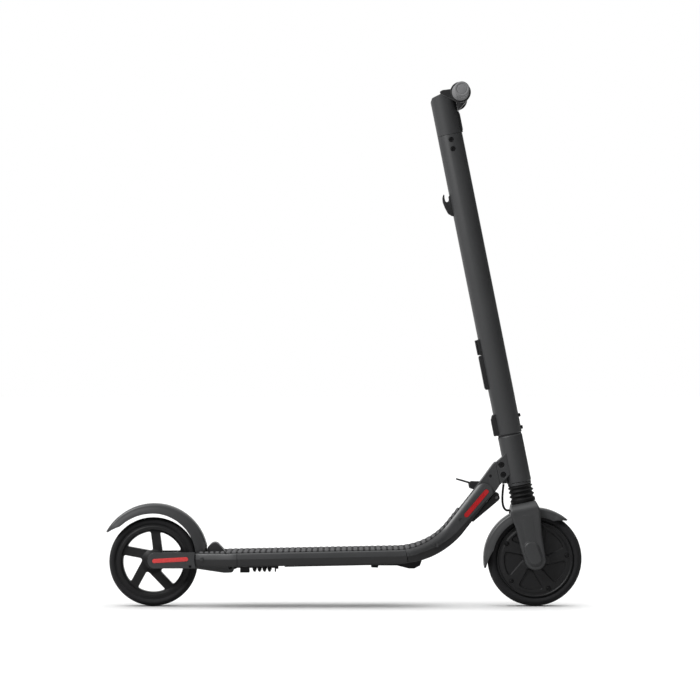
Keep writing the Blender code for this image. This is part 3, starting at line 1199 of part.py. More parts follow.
def make_fork(looks, stem):
    """Fork with its guide rod, the spring round it, the bellows and the fender."""
    frame = Frame("fork_slide", stem, (FRONT_AXLE[0], 0, FRONT_AXLE[1]), RAKE)
    side_line = arc((0, 0), 22.5, 188, 352, 8)
    side_line += [(24.0, 50), (30.3, 100), (30.6, 106.5), (25.5, CROWN_HIGH)]
    side_line += [(-27.5, CROWN_HIGH), (-34.0, 104), (-28, 72), (-26, 30)]
    fork = add_piece("fork", prism(side_line, -60, 60), looks["painted"], frame)
    front_line = rounded(
        [
            (-FORK_HALF, -30, 0),
            (-FORK_INNER, -30, 0),
            (-FORK_INNER, CROWN_LOW, 9),
            (FORK_INNER, CROWN_LOW, 9),
            (FORK_INNER, -30, 0),
            (FORK_HALF, -30, 0),
            (FORK_HALF, CROWN_HIGH, 20),
            (-FORK_HALF, CROWN_HIGH, 20),
        ]
    )
    crop(fork, prism(front_line, -60, 60, "X"), frame)
    join(fork, rod(SLIDER_RADIUS, CROWN_HIGH - 6, SLIDER_HIGH, "Z", sides=24), frame)
    panel = [(19, 45), (24.6, 98), (22, 101), (-24, 101), (-26, 97), (-21, 45)]
    for side in (-1, 1):
        low, high = sorted((side * (FORK_HALF - 3), side * (FORK_HALF + 0.7)))
        join(fork, prism(panel, low, high), frame)
    cut(fork, rod(AXLE_RADIUS + GAP, -80, 80), frame)
    for side, name in ((-1, "right"), (1, "left")):
        low, high = sorted((side * (FORK_HALF + GAP), side * (FORK_HALF + 4.5)))
        cap = capsule((-1.5, 4.5), (-4.5, 24.7), 15)
        piece = add_piece(f"axle_cap_{name}", prism(cap, low, high), looks["painted"], frame, 2.0)
        low, high = sorted((side * 30, side * (FORK_HALF + 2.2 + GAP)))
        cut(piece, rod(9 + GAP, low, high), frame)
    stator = STATOR_HALF
    end = FORK_HALF + 2
    profile = [(0, -end), (9, -end), (9, -FORK_HALF - GAP), (AXLE_RADIUS, -FORK_HALF - GAP)]
    profile += [(AXLE_RADIUS, -stator), (60, -stator)]
    profile += [(r, -y) for r, y in reversed(profile)]
    add_piece("front_axle", turned(profile, 20), looks["steel"], frame)
    low = CROWN_HIGH + GAP
    high = HEAD_TUBE_LOW - STEERER_FLANGE_THICK - 2 * GAP
    spring = coil(low, high, FRONT_SPRING_RADIUS, FRONT_SPRING_WIRE, FRONT_SPRING_TURNS, "Z", 5, 12)
    add_piece("front_spring", spring, looks["steel"], frame)
    make_bellows(looks, frame, low, high)
    shift = RAKE
    front, rear = FENDER_FRONT, FENDER_REAR

    def skirt_at(angle):
        from_front = (angle - front) / 14.0
        from_rear = (rear - angle) / 22.0
        share = min(1.0, from_front, from_rear)
        return FENDER_RADIUS - 3.4 - (FENDER_SKIRT - 3.4) * max(0.0, share)

    count = 18
    angles = [front + (rear - front) * number / count - shift for number in range(count + 1)]

    def outer_at(angle):
        return FENDER_RADIUS

    def shifted_skirt(angle):
        return skirt_at(angle + shift)

    shell = fender_shell((0, 0), angles, outer_at, shifted_skirt, FENDER_HALF, FENDER_WALL)
    add_piece("front_fender", shell, looks["painted"], frame)
    return frame


def make_bellows(looks, frame, low, high):
    """Rubber bellows between the fork crown and the steerer's flange, with three ribs."""
    bore = BELLOWS_BORE
    outer = [(bore, low), (26.5, low), (26.5, low + BELLOWS_COLLAR)]
    start, end = low + BELLOWS_COLLAR, high - 1.5
    pitch = (end - start) / BELLOWS_RIBS
    for number in range(BELLOWS_RIBS):
        base = start + pitch * number
        outer += [(BELLOWS_GROOVE, base + 0.24 * pitch), (BELLOWS_GROOVE, base + 0.4 * pitch)]
        outer += [(BELLOWS_RIB, base + 0.7 * pitch), (BELLOWS_RIB, base + 0.9 * pitch)]
    outer += [(BELLOWS_GROOVE + 1, high - 0.8), (BELLOWS_GROOVE + 1, high), (bore, high)]
    add_piece("bellows", turned(outer, STEM_SIDES, "Z"), looks["rubber"], frame)


def make_front_wheel(looks, fork):
    """Hub motor: a drum with its tyre, closed by a cover on the right."""
    frame = Frame("front_wheel_axis", fork, (FRONT_AXLE[0], 0, FRONT_AXLE[1]))
    bore = AXLE_RADIUS + GAP
    rim = FRONT_RIM_RADIUS
    seat = -COVER_SEAT
    drum = [(bore, MOTOR_DEPTH), (MOTOR_RADIUS, MOTOR_DEPTH), (MOTOR_RADIUS, seat), (rim - 4, seat)]
    drum += [(rim, seat + 1), (rim, COVER_SEAT + 2), (MOTOR_RADIUS + 2, 21.5), (HUB_RADIUS + 6, 24)]
    drum += [(HUB_RADIUS + 2, MOTOR_HUB_HALF), (bore, MOTOR_HUB_HALF)]
    add_piece("motor_hub", turned(drum, WHEEL_SIDES), looks["plastic"], frame)
    low = seat - GAP
    inner = MOTOR_RADIUS - 1
    lid = [(bore, -MOTOR_DEPTH), (inner - 1, -MOTOR_DEPTH), (inner, low), (rim - 0.4, low)]
    lid += [(rim - 3, low - 3.9), (MOTOR_RADIUS + 2, low - 3.9), (inner - 1, low - 5.7)]
    lid += [(HUB_RADIUS + 7, -24), (HUB_RADIUS - 4, -26.5), (HUB_RADIUS - 5, -MOTOR_HUB_HALF)]
    lid.append((bore, -MOTOR_HUB_HALF))
    cover = add_piece("motor_cover", turned(lid, WHEEL_SIDES), looks["plastic"], frame)
    for number in range(5):
        middle = POCKET_TURN + 72 * number
        corners = [(*polar(34, middle - 21), 4), (*polar(57, middle - 23), 5)]
        corners += [(*polar(60.5, middle), 0), (*polar(57, middle + 23), 5), (*polar(34, middle + 21), 4)]
        corners += [(*polar(31.5, middle), 0)]
        cut(cover, prism(rounded(corners), -40, -22.6), frame)
        x, z = polar(COVER_SCREW_CIRCLE, COVER_SCREW_TURN + 72 * number)
        join(cover, rod(3.4, -22.4, -19, centre=(x, 0, z), sides=8), frame)
    tyre_profile(frame, looks, "front_tyre", rim + GAP, FRONT_TYRE_RADIUS, FRONT_TYRE_WIDTH / 2)
    return frame


def make_motor_cable(looks, line, head):
    """Cable from the fold bracket to the fork, clipped at both ends.

    Its route is given forward of and above the fold's axis.
    """
    route = ((17.0, -43.0), (15.6, -55.2), (14.4, -71.2), (15.0, -84.2))
    route += ((17.6, -93.8), (22.8, -99.2), (30.2, -99.6))
    points = [Vector((line.fold.x + forward, 0, line.fold.y + up)) for forward, up in route]
    dense = []
    for number in range(len(points) - 1):
        before = points[max(0, number - 1)]
        after = points[min(len(points) - 1, number + 2)]
        one, other = points[number], points[number + 1]
        for step in range(2):
            t = step / 2
            a, b = one * 2, (other - before) * t
            c = (before * 2 - one * 5 + other * 4 - after) * t * t
            d = (one * 3 - before - other * 3 + after) * t * t * t
            dense.append((a + b + c + d) / 2)
    dense.append(points[-1])
    frame = Frame("motor_cable_place", head)
    cable = tube_along(dense, CABLE_RADIUS, 6, lambda point: Vector((0, 1, 0)))
    add_piece("motor_cable", cable, looks["rubber"], frame)


def clear_scene():
    for thing in list(bpy.data.objects):
        bpy.data.objects.remove(thing, do_unlink=True)


def main():
    clear_scene()
    looks = make_looks()
    line = TopLine()
    root = Frame("chassis")
    make_deck_body(looks, line, root)
    make_deck_rear(looks, line, root)
    make_neck_frame(looks, line, root)
    make_deck_mat(looks, line, root)
    make_neck_block(looks, line, root)
    make_under_neck(looks, line, root)
    make_rear_hump(looks, line, root)
    make_fold_pedal(looks, line, root)
    make_latch_hook(looks, line, root)
    make_kickstand(looks, line, root)
    arm = make_rear_arm(looks, root)
    make_rear_suspension(looks, root)
    make_rear_wheel(looks, arm)
    make_rear_fender(looks, arm)
    make_rear_spring(looks, root)
    head = make_head(looks, line, root)
    stem = make_stem(looks, head)
    make_handlebar(looks, stem)
    fork = make_fork(looks, stem)
    make_front_wheel(looks, fork)
    make_motor_cable(looks, line, head)


main()
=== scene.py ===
"""The looks of the folding electric scooter.

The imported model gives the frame, its bodies and its sizes. This script gives every surface its
finish and builds the fine shapes over the plain ones: tyres, wheels, tubes, ribbed mat, springs and
covers. Sizes are millimetres in the two drawing frames of the part: the world, and the steering
frame, whose Z runs up the steering axis from the front axle. An outline or a profile is a list of
corners, each with the radius that rounds it.
"""

import json
import math

import bmesh
import bpy
from mathutils import Matrix, Vector


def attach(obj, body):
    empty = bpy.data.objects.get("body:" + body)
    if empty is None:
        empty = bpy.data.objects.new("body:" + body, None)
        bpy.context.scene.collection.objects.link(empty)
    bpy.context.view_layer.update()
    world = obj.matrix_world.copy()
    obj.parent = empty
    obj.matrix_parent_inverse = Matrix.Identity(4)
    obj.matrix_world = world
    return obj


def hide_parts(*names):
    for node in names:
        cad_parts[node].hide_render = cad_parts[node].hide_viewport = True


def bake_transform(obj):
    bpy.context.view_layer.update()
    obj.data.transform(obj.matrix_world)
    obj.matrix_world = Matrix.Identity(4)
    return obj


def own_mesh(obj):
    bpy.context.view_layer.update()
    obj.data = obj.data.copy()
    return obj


MM = 0.001


def moved_to(x, z, y=0):
    """A drawing frame with its origin at a point."""
    return Matrix.Translation((x * MM, y * MM, z * MM))


RAKE = 11.3
FRONT_AXLE = (409.5, 101.6)
REAR_AXLE = (-410.6, 95.5)
WORLD = Matrix.Identity(4)
FRONT_WHEEL = moved_to(*FRONT_AXLE)
REAR_WHEEL = moved_to(*REAR_AXLE)
STEERING = FRONT_WHEEL @ Matrix.Rotation(-math.radians(RAKE), 4, "Y")
SIDES = ((-1, "right"), (1, "left"))
BAR = (35.0, 1008.0)
BAR_CENTRE = (BAR[0], 0, BAR[1])
BAR_HOLE = 11.3
AXLE_CENTRE = (REAR_AXLE[0], 0, REAR_AXLE[1])
ARM_PIVOT = (-244, 0, 104.5)
FENDER_PIN = (-308, 0, 113)
ROD_HEIGHT = 84.5

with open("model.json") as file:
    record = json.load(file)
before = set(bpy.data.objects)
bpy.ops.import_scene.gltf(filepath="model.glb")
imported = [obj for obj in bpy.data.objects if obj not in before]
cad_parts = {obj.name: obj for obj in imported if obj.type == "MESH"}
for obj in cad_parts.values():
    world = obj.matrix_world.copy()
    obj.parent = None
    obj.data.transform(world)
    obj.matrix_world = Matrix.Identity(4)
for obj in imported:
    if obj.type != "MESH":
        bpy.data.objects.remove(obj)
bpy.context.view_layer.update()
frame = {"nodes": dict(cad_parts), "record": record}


# Materials


def set_inputs(tree, node, **values):
    """Gives a node's inputs a number, a colour or another node's output; "_" stands for a space."""
    for name, value in values.items():
        socket = node.inputs[name.replace("_", " ")]
        if hasattr(value, "is_output"):
            tree.links.new(value, socket)
        else:
            socket.default_value = value


def add_node(tree, kind, **values):
    """A new node in a tree, with its inputs set."""
    node = tree.nodes.new("ShaderNode" + kind)
    set_inputs(tree, node, **values)
    return node


class Look:
    """A node material with a few helpers to build it."""

    def __init__(self, name):
        self.material = bpy.data.materials.new(name)
        self.material.use_nodes = True
        self.tree = self.material.node_tree
        self.shader = self.tree.nodes["Principled BSDF"]
        self.place = add_node(self.tree, "TexCoord").outputs["Object"]

    def noise(self, size_mm, detail=3.0, roughness=0.5):
        """Noise whose grains are about a given size."""
        values = {"Scale": 1000.0 / size_mm, "Detail": detail, "Roughness": roughness}
        return add_node(self.tree, "TexNoise", Vector=self.place, **values).outputs["Fac"]

    def cells(self, size_mm):
        """The distance from the middles of irregular cells of about a given size."""
        node = add_node(self.tree, "TexVoronoi", Vector=self.place, Scale=1000.0 / size_mm)
        return node.outputs["Distance"]

    def remap(self, value, low, high, to_low, to_high):
        """A value moved from one range to another, and kept within it."""
        node = add_node(
            self.tree, "MapRange", Value=value, From_Min=low, From_Max=high, To_Min=to_low, To_Max=to_high
        )
        return node.outputs["Result"]

    def colour(self, amount, one, other):
        """A base colour between two, by an amount from 0 to 1."""
        node = add_node(self.tree, "Mix")
        node.data_type = "RGBA"
        ends = [socket for socket in node.inputs if socket.type == "RGBA"]
        for socket, colour in zip(ends, (one, other)):
            socket.default_value = (*colour, 1.0)
        set_inputs(self.tree, node, Factor=amount)
        mixed = [socket for socket in node.outputs if socket.type == "RGBA"][0]
        set_inputs(self.tree, self.shader, Base_Color=mixed)

    def finish(self, rough, metallic=0.0, **values):
        """The shader's roughness and metal, and any other of its inputs."""
        set_inputs(self.tree, self.shader, Roughness=rough, Metallic=metallic, **values)

    def relief(self, height, depth_mm, edge_mm=0.0):
        """Bumps of a depth, over edges that read as slightly rounded."""
        bump = add_node(self.tree, "Bump", Height=height, Distance=depth_mm * MM, Strength=1.0)
        if edge_mm:
            rounding = add_node(self.tree, "Bevel", Radius=edge_mm * MM)
            rounding.samples = 4
            set_inputs(self.tree, bump, Normal=rounding.outputs["Normal"])
        set_inputs(self.tree, self.shader, Normal=bump.outputs["Normal"])
        return self.material


def painted(name, light, dark, rough):
    """Powder coat: a fine orange peel, with slow changes in tone and gloss."""
    look = Look(name)
    slow = look.noise(90, 2.0)
    look.colour(slow, dark, light)
    gloss = look.remap(slow, 0.3, 0.7, rough - 0.03, rough + 0.04)
    look.finish(gloss, Specular_IOR_Level=0.3)
    return look.relief(look.noise(1.1, 2.0), 0.05, edge_mm=0.7)


def moulded(name, light, dark, rough):
    """Moulded plastic: a spark-eroded grain and a little dust in the tone."""
    look = Look(name)
    look.colour(look.noise(40), dark, light)
    gloss = look.remap(look.noise(25), 0.3, 0.7, rough - 0.04, rough + 0.05)
    look.finish(gloss, Specular_IOR_Level=0.18)
    return look.relief(look.cells(0.7), 0.06, edge_mm=0.5)


def rubber(name, light, dark, rough=0.82, grain_mm=0.9, depth_mm=0.08, shine=0.2):
    """Rubber: matt, slightly mottled, with a soft sheen at the rims."""
    look = Look(name)
    look.colour(look.noise(14, 4.0, 0.65), dark, light)
    gloss = look.remap(look.noise(6), 0.3, 0.7, rough - 0.06, rough + 0.05)
    look.finish(gloss, Sheen_Weight=0.03, Specular_IOR_Level=shine)
    return look.relief(look.noise(grain_mm, 4.0), depth_mm)


def metal(name, light, rough):
    """Machined metal, with a fine grain in its tone and gloss."""
    look = Look(name)
    grain = look.noise(1.2, 4.0)
    look.colour(grain, tuple(part * 0.75 for part in light), light)
    look.finish(look.remap(grain, 0.3, 0.7, rough - 0.06, rough + 0.1), 1.0)
    return look.relief(grain, 0.01, edge_mm=0.3)


def reflector(name, light, dark, coat):
    """Red moulded reflector: rows of small prisms below a smooth clear face."""
    look = Look(name)
    cells = look.cells(2.4)
    look.colour(look.remap(cells, 0.0, 0.7, 0.0, 1.0), light, dark)
    look.finish(0.4, Coat_Weight=coat, Coat_Roughness=0.1, Specular_IOR_Level=0.2)
    return look.relief(cells, 0.2)


def dark_glass():
    """The smooth black window of the display and of the front light."""
    look = Look("dark_window")
    look.colour(look.noise(30), (0.004, 0.004, 0.005), (0.009, 0.009, 0.011))
    look.finish(0.12, Coat_Weight=0.6, Coat_Roughness=0.04)
    return look.relief(look.noise(9), 0.01)


LOOKS = {
    "painted": painted("graphite_paint", (0.0206, 0.021, 0.0217), (0.0169, 0.0173, 0.018), 0.42),
    # Painted shade: the graphite paint made darker, for the deck's facets that face down and away from the
    # light.
    "painted_shade_facets": painted("graphite_paint_shade", (0.008, 0.008, 0.0084), (0.0064, 0.0064, 0.0068), 0.45),
    # Painted shade: near black, for the band of the neck's frame below the covers and for the hump's side
    # faces.
    "painted_shade_black": painted("black_paint_shade", (0.009, 0.009, 0.0095), (0.006, 0.006, 0.0065), 0.55),
    "plastic": moulded("dark_plastic", (0.008, 0.008, 0.0084), (0.0055, 0.0055, 0.0058), 0.5),
    "wheel": moulded("wheel_plastic", (0.006, 0.006, 0.0063), (0.004, 0.004, 0.0043), 0.42),
    "battery": moulded("battery_wrap", (0.02, 0.06, 0.13), (0.015, 0.045, 0.1), 0.45),
    "rubber": rubber("black_rubber", (0.012, 0.012, 0.0125), (0.007, 0.007, 0.0075)),
    "boot": rubber("boot_rubber", (0.003, 0.003, 0.0032), (0.002, 0.002, 0.0022), 0.55, 0.6, 0.04, 0.08),
    "mat": rubber("mat_rubber", (0.056, 0.056, 0.0576), (0.042, 0.042, 0.043), 0.85, shine=0.06),
    # Painted shade: darker rubber for the valleys between the mat's ribs.
    "mat_valley_shade": rubber("mat_rubber_valley_shade", (0.014, 0.014, 0.0145), (0.01, 0.01, 0.0105), 0.9, shine=0.04),
    "tyre": rubber("tyre_rubber", (0.009, 0.009, 0.0095), (0.006, 0.006, 0.0065), 0.8, shine=0.1),
    "grip": rubber("grip_rubber", (0.1, 0.1, 0.1025), (0.076, 0.076, 0.078), 0.7),
    "steel": metal("bare_steel", (0.45, 0.45, 0.46), 0.3),
    "dull_steel": metal("zinc_steel", (0.11, 0.11, 0.113), 0.45),
    "dark_steel": metal("black_steel", (0.018, 0.018, 0.0185), 0.42),
    "reflector": reflector("reflector_red", (0.3, 0.006, 0.009), (0.2, 0.004, 0.005), 0.1),
    "clear_reflector": reflector("reflector_clear_red", (0.42, 0.035, 0.035), (0.3, 0.022, 0.022), 0.2),
    "lens": dark_glass(),
}


def dress_plain_nodes():
    """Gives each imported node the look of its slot."""
    slots = {item["node"]: item["material_slot"] for item in frame["record"]["subparts"]}
    for name, node in frame["nodes"].items():
        node.data.materials.clear()
        node.data.materials.append(LOOKS[slots[name]])


# Outlines


def arc(centre, radius, start, end, count):
    """Points of an arc, in degrees from the first axis, ends included."""
    points = []
    for number in range(count + 1):
        angle = math.radians(start + (end - start) * number / count)
        points.append((centre[0] + radius * math.cos(angle), centre[1] + radius * math.sin(angle)))
    return points


def polar(radius, degrees):
    """A point at a radius and an angle."""
    return radius * math.cos(math.radians(degrees)), radius * math.sin(math.radians(degrees))


def span(side, inner, outer):
    """The low and high y of a layer on one side."""
    return sorted((side * inner, side * outer))


def rounded(corners, step=9.0):
    """A closed outline in which each corner (x, z, radius) becomes an arc."""
    points = []
    count = len(corners)
    for number in range(count):
        here = Vector(corners[number][:2])
        radius = corners[number][2]
        back = (Vector(corners[number - 1][:2]) - here).normalized()
        onward = (Vector(corners[(number + 1) % count][:2]) - here).normalized()
        half = back.angle(onward) / 2
        if radius <= 0 or half > math.radians(89.5):
            points.append(tuple(here))
            continue
        start = here + back * (radius / math.tan(half))
        centre = here + (back + onward).normalized() * (radius / math.sin(half))
        spread = math.pi - 2 * half
        steps = max(2, round(math.degrees(spread) / step))
        first = start - centre
        sign = 1 if back.x * onward.y - back.y * onward.x < 0 else -1
        for number_on_arc in range(steps + 1):
            turn = Matrix.Rotation(sign * spread * number_on_arc / steps, 2)
            points.append(tuple(centre + turn @ first))
    return points


def wedge(middle, rows):
    """An outline about a wheel's centre, of (radius, degrees from the middle, rounding) corners."""
    return rounded([(*polar(radius, middle + turn), soft) for radius, turn, soft in rows])


def capsule(start, end, radius, count=24):
    """The outline of a straight slot with round ends."""
    along = Vector(end) - Vector(start)
    lean = math.degrees(math.atan2(along.y, along.x))
    near = arc(start, radius, lean + 90, lean + 270, count)
    return near + arc(end, radius, lean - 90, lean + 90, count)


def bend(start, through, end, steps=5):
    """A smooth turn from start to end, pulled towards a corner."""
    points = []
    for number in range(steps + 1):
        t = number / steps
        points.append(tuple(start * (1 - t) ** 2 + through * 2 * t * (1 - t) + end * t * t))
    return points


def inset(outline, amount):
    """An outline moved inward by an amount."""
    count = len(outline)
    area = sum(
        outline[i - 1][0] * outline[i][1] - outline[i][0] * outline[i - 1][1] for i in range(count)
    )
    sign = 1 if area > 0 else -1
    moved = []
    for i in range(count):
        back = (Vector(outline[i]) - Vector(outline[i - 1])).normalized()
        onward = (Vector(outline[(i + 1) % count]) - Vector(outline[i])).normalized()
        normal = Vector((-back.y - onward.y, back.x + onward.x)).normalized() * sign
        share = max(0.5, normal.dot(Vector((-onward.y, onward.x)) * sign))
        moved.append(tuple(Vector(outline[i]) + normal * (amount / share)))
    return moved


def without_repeats(outline, apart=0.02):
    """Drops points that lie on the one before, which would leave an edge with no direction."""
    kept = []
    for point in outline:
        if not kept or (Vector(point) - Vector(kept[-1])).length > apart:
            kept.append(point)
    if (Vector(kept[0]) - Vector(kept[-1])).length <= apart:
        kept.pop()
    return kept


# Solids


def loft(rings):
    """A closed mesh through rings of points, capped at both ends."""
    mesh = bmesh.new()
    rows = [[mesh.verts.new(point) for point in ring] for ring in rings]
    for one, other in zip(rows, rows[1:]):
        for i in range(len(one)):
            j = (i + 1) % len(one)
            mesh.faces.new((one[i], one[j], other[j], other[i]))
    mesh.faces.new(rows[0])
    mesh.faces.new(rows[-1][::-1])
    return mesh


def spot(a, b, along, axis):
    """A point from its place along an axis and its two places across it."""
    return {"X": (along, a, b), "Y": (a, along, b), "Z": (a, b, along)}[axis]


def prism(outline, low, high, axis="Y"):
    """An outline stretched along one axis, from low to high."""
    return loft([[spot(a, b, end, axis) for a, b in outline] for end in (low, high)])


def box(low, high):
    """A block between two opposite corners."""
    outline = [(low[0], low[2]), (high[0], low[2]), (high[0], high[2]), (low[0], high[2])]
    return prism(outline, low[1], high[1])


def soft_prism(outline, low, high, soft, axis="Y", steps=4, low_soft=None):
    """A prism whose rims are rounded; low_soft rounds the low rim differently."""
    outline = without_repeats(outline)
    low_soft = soft if low_soft is None else low_soft
    turns = [math.radians(90 * number / steps) for number in range(steps + 1)]
    layers = []
    for turn in turns:
        layers.append((low + low_soft - low_soft * math.cos(turn), low_soft - low_soft * math.sin(turn)))
    for turn in turns:
        layers.append((high - soft + soft * math.sin(turn), soft - soft * math.cos(turn)))
    return loft([[spot(a, b, place, axis) for a, b in inset(outline, amount)] for place, amount in layers])


def turned(profile, sides, axis="Y", centre=(0.0, 0.0, 0.0), step=9.0, side=1):
    """A profile of (radius, place along the axis, rounding) turned about an axis.

    A profile that starts and ends on the axis is left open, any other one is a closed ring. With
    side -1 it lies on the other side.
    """
    mesh = bmesh.new()
    columns = []
    profile = rounded(profile, step)
    for radius, place in profile:
        count = sides if radius > 1e-6 else 1
        column = []
        for number in range(count):
            angle = 2 * math.pi * number / sides
            point = spot(radius * math.cos(angle), radius * math.sin(angle), side * place, axis)
            column.append(mesh.verts.new(Vector(point) + Vector(centre)))
        columns.append(column if count == sides else column * sides)
    pairs = list(zip(columns, columns[1:]))
    if profile[0][0] > 1e-6:
        pairs.append((columns[-1], columns[0]))
    for one, other in pairs:
        for i in range(sides):
            j = (i + 1) % sides
            corners = list(dict.fromkeys((one[i], one[j], other[j], other[i])))
            if len(corners) > 2:
                mesh.faces.new(corners)
    return mesh


def rod(radius, low, high, axis="Y", centre=(0.0, 0.0, 0.0), sides=48, soft=0.0):
    """A round bar, with its rims rounded by soft."""
    profile = [(0, low, 0), (radius, low, soft), (radius, high, soft), (0, high, 0)]
    return turned(profile, sides, axis, centre, 22.5)


def hexagon(radius, low, high, centre, axis="Y"):
    """The socket of a hexagon key."""
    mesh = prism(arc((0, 0), radius, 0, 300, 5), low, high, axis)
    bmesh.ops.translate(mesh, vec=centre, verts=mesh.verts)
    return mesh


def tube_along(points, radius, sides, across):
    """A round bar along points; across gives a direction that is never along the bar."""
    rings = []
    for number, point in enumerate(points):
        before = points[max(0, number - 1)]
        after = points[min(len(points) - 1, number + 1)]
        along = (after - before).normalized()
        other = along.cross(across(point)).normalized()
        spoke = other.cross(along)
        row = []
        for side in range(sides):
            turn = 2 * math.pi * side / sides
            row.append(point + (spoke * math.cos(turn) + other * math.sin(turn)) * radius)
        rings.append(row)
    return loft(rings)


def coil(start, end, radius, wire, axis, turns=4.5, sides=16, steps=40):
    """A coil spring of one unbroken wire, along an axis of its frame."""
    points = []
    count = round(turns * steps)
    rise = end - start - 2 * wire
    for number in range(count + 1):
        angle = 2 * math.pi * number / steps
        place = start + wire + rise * number / count
        points.append(Vector(spot(radius * math.cos(angle), radius * math.sin(angle), place, axis)))
    flat = Vector(spot(1, 1, 0, axis))
    return tube_along(points, wire, sides, lambda point: point * flat)


def merged(*meshes):
    """Several closed meshes as one mesh, for a piece of several solids."""
    whole = bmesh.new()
    for mesh in meshes:
        data = bpy.data.meshes.new("part_of_piece")
        mesh.to_mesh(data)
        mesh.free()
        whole.from_mesh(data)
        bpy.data.meshes.remove(data)
    return whole


# Pieces


def add_object(name, data):
    """A new object in the scene."""
    made = bpy.data.objects.new(name, data)
    bpy.context.scene.collection.objects.link(made)
    return made


def add_change(piece, kind, **settings):
    """Adds a modifier with its settings, in the order they are given."""
    change = piece.modifiers.new(kind.lower(), kind)
    for name, value in settings.items():
        setattr(change, name, value)


def bake(piece):
    """Applies a piece's modifiers to its mesh."""
    bpy.context.view_layer.update()
    shown = piece.evaluated_get(bpy.context.evaluated_depsgraph_get())
    data = bpy.data.meshes.new_from_object(shown)
    piece.modifiers.clear()
    old = piece.data
    piece.data = data
    bpy.data.meshes.remove(old)


def ease(piece, voxel, rounds):
    """Remeshes a piece finely and smooths it, as casting rounds edges and inner corners."""
    add_change(piece, "REMESH", mode="VOXEL", voxel_size=voxel * MM, use_smooth_shade=True)
    add_change(piece, "SMOOTH", factor=0.5, iterations=rounds)
    bake(piece)


def dress(piece, look, body, stands_for):
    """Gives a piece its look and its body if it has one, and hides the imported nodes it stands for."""
    piece.data.materials.clear()
    piece.data.materials.append(LOOKS[look])
    if body:
        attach(piece, body)
    if stands_for:
        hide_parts(*stands_for)


class Piece:
    """A shown piece: it starts as one mesh, is cut and joined, and then gets its edges and finish."""

    def __init__(self, name, mesh, place=WORLD):
        self.place = place
        bmesh.ops.recalc_face_normals(mesh, faces=mesh.faces)
        data = bpy.data.meshes.new(name)
        mesh.to_mesh(data)
        mesh.free()
        data.transform(place @ Matrix.Scale(MM, 4))
        self.object = add_object(name, data)

    def combine(self, other, operation):
        """Cuts, joins or crops the piece by another one, which is used up."""
        add_change(self.object, "BOOLEAN", object=other.object, operation=operation, solver="EXACT")
        bake(self.object)
        bpy.data.objects.remove(other.object)

    def cut(self, mesh):
        """Takes a shape away from the piece."""
        self.combine(Piece("helper", mesh, self.place), "DIFFERENCE")

    def join(self, mesh):
        """Adds a shape to the piece."""
        self.combine(Piece("helper", mesh, self.place), "UNION")

    def crop(self, mesh):
        """Keeps what lies inside a shape."""
        self.combine(Piece("helper", mesh, self.place), "INTERSECT")

    def finish(self, look, body, stands_for=(), soft=0.0, steps=3, angle=32.0):
        """Rounds the edges by soft millimetres, shades the piece and dresses it."""
        piece = self.object
        if soft:
            edges = {"limit_method": "ANGLE", "angle_limit": math.radians(angle)}
            edges.update(harden_normals=True, miter_outer="MITER_ARC")
            add_change(piece, "BEVEL", width=soft * MM, segments=steps, **edges)
        piece.data.shade_smooth()
        piece.data.set_sharp_from_angle(angle=math.radians(angle))
        dress(piece, look, body, stands_for)
        return piece


def cast_copy(node, look, body, rounds):
    """A casting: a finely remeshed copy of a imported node, whose edges and inner corners are eased."""
    piece = add_object(f"{node}_cast", frame["nodes"][node].data.copy())
    add_change(piece, "WELD", merge_threshold=1e-5)
    ease(piece, 0.5, rounds)
    dress(piece, look, body, [node])
    return piece


def finish_where(piece, look, chosen):
    """Gives faces a look of their own, chosen by their middle in millimetres and their normal."""
    piece.data.materials.append(LOOKS[look])
    number = len(piece.data.materials) - 1
    for face in piece.data.polygons:
        if chosen(face.center / MM, face.normal):
            face.material_index = number


def stud(name, radius, reach, centre, soft, look, body, socket=None, axis="Y", place=WORLD):
    """A screw's head or a plug; socket is the radius, low and high end of its hexagon."""
    piece = Piece(name, rod(radius, *reach, axis, centre, soft=soft), place)
    if socket:
        piece.cut(hexagon(*socket, centre, axis))
    piece.finish(look, body)


# Wheels


def tyre(inner, outer, half):
    """A round-shouldered tyre with two shallow grooves in its tread."""
    wall = outer - inner
    crown_drop = wall * 0.08
    groove = 6.5

    def tread(side):
        return outer - crown_drop * side / (half - 9)

    profile = [
        (outer, 0, 30), (tread(groove - 0.9), groove - 0.9, 0.3),
        (tread(groove) - 1.1, groove - 0.5, 0.3), (tread(groove) - 1.1, groove + 0.5, 0.3),
        (tread(groove + 0.9), groove + 0.9, 0.3), (outer - crown_drop, half - 9, 9),
        (outer - wall * 0.33, half - 2, 7), (inner + wall * 0.4, half, 6),
        (inner + 3.0, half - 2.4, 1.2), (inner + 2.2, half - 3.4, 0.5), (inner, half - 5, 0.6),
    ]
    return turned([(r, -y, soft) for r, y, soft in reversed(profile[1:])] + profile, 160, step=12)


